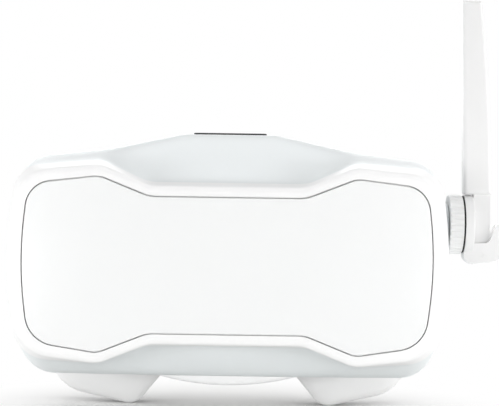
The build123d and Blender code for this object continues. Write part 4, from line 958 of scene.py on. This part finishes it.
# %% Find the rim of the glued side
rim = merged_copy("face_cushion", "pad_piping")
shape = bmesh.new()
shape.from_mesh(rim.data)
shape.normal_update()
glued_faces = {face for face in shape.faces if face.normal.y < FORWARDS}
inner_edges = [e for e in shape.edges if len(glued_faces & set(e.link_faces)) != 1]
bmesh.ops.delete(shape, geom=list(shape.faces), context="FACES_ONLY")
bmesh.ops.delete(shape, geom=inner_edges, context="EDGES")
bmesh.ops.delete(shape, geom=[v for v in shape.verts if not v.link_edges], context="VERTS")
rim_length = sum(edge.calc_length() for edge in shape.edges)
shape.to_mesh(rim.data)
shape.free()
print("rim:", round(rim_length / MM), "mm")

# %% Piping along the rim
def raised_rim(tree, given):
    """The rim as a curve with a point at every Step, moved off the glue by Lift."""
    line = add_node(tree, "GeometryNodeMeshToCurve", {"Mesh": given["Geometry"]})
    even = add_node(
        tree,
        "GeometryNodeResampleCurve",
        {"Curve": line.outputs[0], "Length": given["Step"]},
        mode="LENGTH",
    )
    lift = add_node(tree, "ShaderNodeCombineXYZ", {"Y": given["Lift"]})
    moved = {"Geometry": even.outputs[0], "Offset": lift.outputs[0]}
    return add_node(tree, "GeometryNodeSetPosition", moved).outputs[0]


tree, given, out = open_tree(
    "piping", {"Radius": "Float", "Lift": "Float", "Step": "Float", "Material": "Material"}
)
ring = add_node(
    tree, "GeometryNodeCurvePrimitiveCircle", {"Resolution": 10, "Radius": given["Radius"]}
)
tube = add_node(
    tree,
    "GeometryNodeCurveToMesh",
    {"Curve": raised_rim(tree, given), "Profile Curve": ring.outputs["Curve"]},
)
close_tree(tree, given, out, tube.outputs[0])
# the stitches need the bare rim too, so it is copied before it becomes the piping
stitches = bpy.data.objects.new("pad_stitches", rim.data.copy())
scene.collection.objects.link(stitches)
run_tree(
    rim,
    tree,
    {"Radius": 0.9 * MM, "Lift": 1.2 * MM, "Step": 2.5 * MM, "Material": flap_silicone},
)
shade_smooth(rim)
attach(rim, "goggles_body")
print("piping faces:", len(rim.data.polygons))

# %% A row of stitches
ROUND_SIDES = 6
tree, given, out = open_tree(
    "stitch_row",
    {
        "Pad": "Object",
        "Lift": "Float",
        "Step": "Float",
        "Length": "Float",
        "Radius": "Float",
        "Material": "Material",
    },
)
pad = add_node(
    tree, "GeometryNodeObjectInfo", {"Object": given["Pad"]}, transform_space="ORIGINAL"
)
nearest = add_node(
    tree, "GeometryNodeProximity", {0: pad.outputs["Geometry"]}, target_element="FACES"
)
laid = add_node(
    tree,
    "GeometryNodeSetPosition",
    {"Geometry": raised_rim(tree, given), "Position": nearest.outputs["Position"]},
)
tangent = add_node(tree, "GeometryNodeInputTangent")
turn = add_node(
    tree, "FunctionNodeAlignRotationToVector", {"Vector": tangent.outputs[0]}, axis="Z"
)
thread = add_node(
    tree,
    "GeometryNodeMeshCylinder",
    {"Vertices": ROUND_SIDES, "Radius": given["Radius"], "Depth": given["Length"]},
)
row = add_node(
    tree,
    "GeometryNodeInstanceOnPoints",
    {"Points": laid.outputs[0], "Instance": thread.outputs["Mesh"], "Rotation": turn.outputs[0]},
)
close_tree(tree, given, out, row.outputs[0])
print("nodes in the row's tree:", len(tree.nodes))

# %% Sew the cover
sewing_thread = soft_rubber("stitch_thread", "8A8C90", "9B9DA1", 0.7, 1 * MM, 0.02 * MM)
run_tree(
    stitches,
    tree,
    {
        "Pad": cushion,
        "Lift": 4.2 * MM,
        "Step": 4 * MM,
        "Length": 2.6 * MM,
        "Radius": 0.3 * MM,
        "Material": sewing_thread,
    },
)
shade_smooth(stitches)
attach(stitches, "goggles_body")
print("stitches:", len(stitches.data.polygons) // (ROUND_SIDES + 2))

# %% [markdown]
# ## Nose flap
# The flap that keeps light out beside the nose is moulded in soft silicone. Its edges
# are round. An even mesh at 1 mm and a few passes of smoothing round the CAD model's
# sharp edges.

# %% Round the flap
FLAP_VOXEL = 1.0 * MM
FLAP_PASSES = 3
flap = merged_copy("nose_flap", "nose_flap_skin")
mesh_anew(flap, FLAP_VOXEL)
soften(flap, FLAP_PASSES)
cover_with(flap, flap_silicone)
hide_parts("nose_flap")
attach(flap, "goggles_body")
print("flap faces:", len(flap.data.polygons))

# %% [markdown]
# ## Dust gauze behind the cooling slots
# Behind the slots in the side wall sits a piece of woven wire gauze that keeps dust
# off the display. Two sets of straight wires, one across the other, look like it. The
# wires are 0.3 mm thick and 1.2 mm apart, and the tree sets each of them on a point of a
# line.

# %% Lay the wires
tree, given, out = open_tree(
    "gauze",
    {
        "Width": "Float",
        "Height": "Float",
        "Pitch": "Float",
        "Wire": "Float",
        "Material": "Material",
    },
)
both = add_node(tree, "GeometryNodeJoinGeometry")
for along, across, axis, turn in (
    ("Width", "Height", "Z", (QUARTER, 0, 0)),
    ("Height", "Width", "Y", (0, 0, 0)),
):
    count = add_node(
        tree, "ShaderNodeMath", {0: given[across], 1: given["Pitch"]}, operation="DIVIDE"
    )
    half = add_node(tree, "ShaderNodeMath", {0: given[across], 1: -0.5}, operation="MULTIPLY")
    first = add_node(tree, "ShaderNodeCombineXYZ", {axis: half.outputs[0]})
    step = add_node(tree, "ShaderNodeCombineXYZ", {axis: given["Pitch"]})
    points = add_node(
        tree,
        "GeometryNodeMeshLine",
        {
            "Count": count.outputs[0],
            "Start Location": first.outputs[0],
            "Offset": step.outputs[0],
        },
    )
    wire = add_node(
        tree,
        "GeometryNodeMeshCylinder",
        {"Vertices": ROUND_SIDES, "Radius": given["Wire"], "Depth": given[along]},
    )
    laid = add_node(
        tree,
        "GeometryNodeInstanceOnPoints",
        {"Points": points.outputs[0], "Instance": wire.outputs["Mesh"], "Rotation": turn},
    )
    tree.links.new(laid.outputs[0], both.inputs[0])
close_tree(tree, given, out, both.outputs[0])
print("nodes in the gauze's tree:", len(tree.nodes))

# %% Set the gauze behind the slots
GAUZE_LOW = Vector((82.2, -58.5, -22.5)) * MM
GAUZE_HIGH = Vector((82.2, -34.5, 0.5)) * MM
size = GAUZE_HIGH - GAUZE_LOW
gauze = bpy.data.objects.new("dust_gauze", bpy.data.meshes.new("dust_gauze"))
scene.collection.objects.link(gauze)
run_tree(
    gauze,
    tree,
    {
        "Width": size.y,
        "Height": size.z,
        "Pitch": 1.2 * MM,
        "Wire": 0.15 * MM,
        "Material": screw_steel,
    },
)
middle = (GAUZE_LOW + GAUZE_HIGH) / 2
for vertex in gauze.data.vertices:
    vertex.co += middle
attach(gauze, "goggles_body")
print("gauze faces:", len(gauze.data.polygons))

# %% [markdown]
# ## Marks on the keys
# The three keys step a channel down, search, and step a channel up. Plain marks say
# so: a triangle each way and a ring between them, printed in pale ink. They are thin
# raised shapes, 0.05 mm high, so they look printed from any side. Ink dries to a satin
# skin, so the recipe for plastic makes it too.

# %% Thin raised marks
INK_HEIGHT = 0.05 * MM
ABOVE_KEY = 0.01 * MM
pale_ink = moulded_plastic("pale_ink", "D9DADC", 0.5, 0.5 * MM, 0.004 * MM, clouds=0.05)


def raised_mark(name, rings, node):
    """A flat mark from one or two rings of corners, raised a little above a key."""
    low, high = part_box(node)
    centre = (low + high) / 2
    floor_of_mark = high.z + ABOVE_KEY
    shape = bmesh.new()
    loops = [
        [shape.verts.new((centre.x + x, centre.y + y, floor_of_mark)) for x, y in ring]
        for ring in rings
    ]
    if len(loops) == 1:
        faces = [shape.faces.new(loops[0])]
    else:
        outer, inner = loops
        count = len(outer)
        faces = [
            shape.faces.new((outer[i], outer[(i + 1) % count], inner[(i + 1) % count], inner[i]))
            for i in range(count)
        ]
    # a new face has no normal yet, and its thickness is laid along the normal
    shape.normal_update()
    bmesh.ops.solidify(shape, geom=faces, thickness=-INK_HEIGHT)
    bmesh.ops.recalc_face_normals(shape, faces=shape.faces)
    mesh = bpy.data.meshes.new(name)
    shape.to_mesh(mesh)
    shape.free()
    mesh.materials.append(pale_ink)
    made = bpy.data.objects.new(name, mesh)
    scene.collection.objects.link(made)
    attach(made, node)


print("ink:", pale_ink.name)

# %% Print the key marks
MARK_REACH = 1.68 * MM
TRIANGLE_BACK = 1.05 * MM
RING_BORE = 1.155 * MM


def circle(radius, count=28):
    """Corners of a circle, anticlockwise."""
    turns = [2 * math.pi * i / count for i in range(count)]
    return [(radius * math.cos(turn), radius * math.sin(turn)) for turn in turns]


triangle = [(MARK_REACH, 0), (-TRIANGLE_BACK, MARK_REACH), (-TRIANGLE_BACK, -MARK_REACH)]
raised_mark("mark_up", [triangle], "channel_up_key")
raised_mark("mark_down", [[(-x, -y) for x, y in triangle]], "channel_down_key")
raised_mark("mark_scan", [circle(MARK_REACH), circle(RING_BORE)], "scan_key")
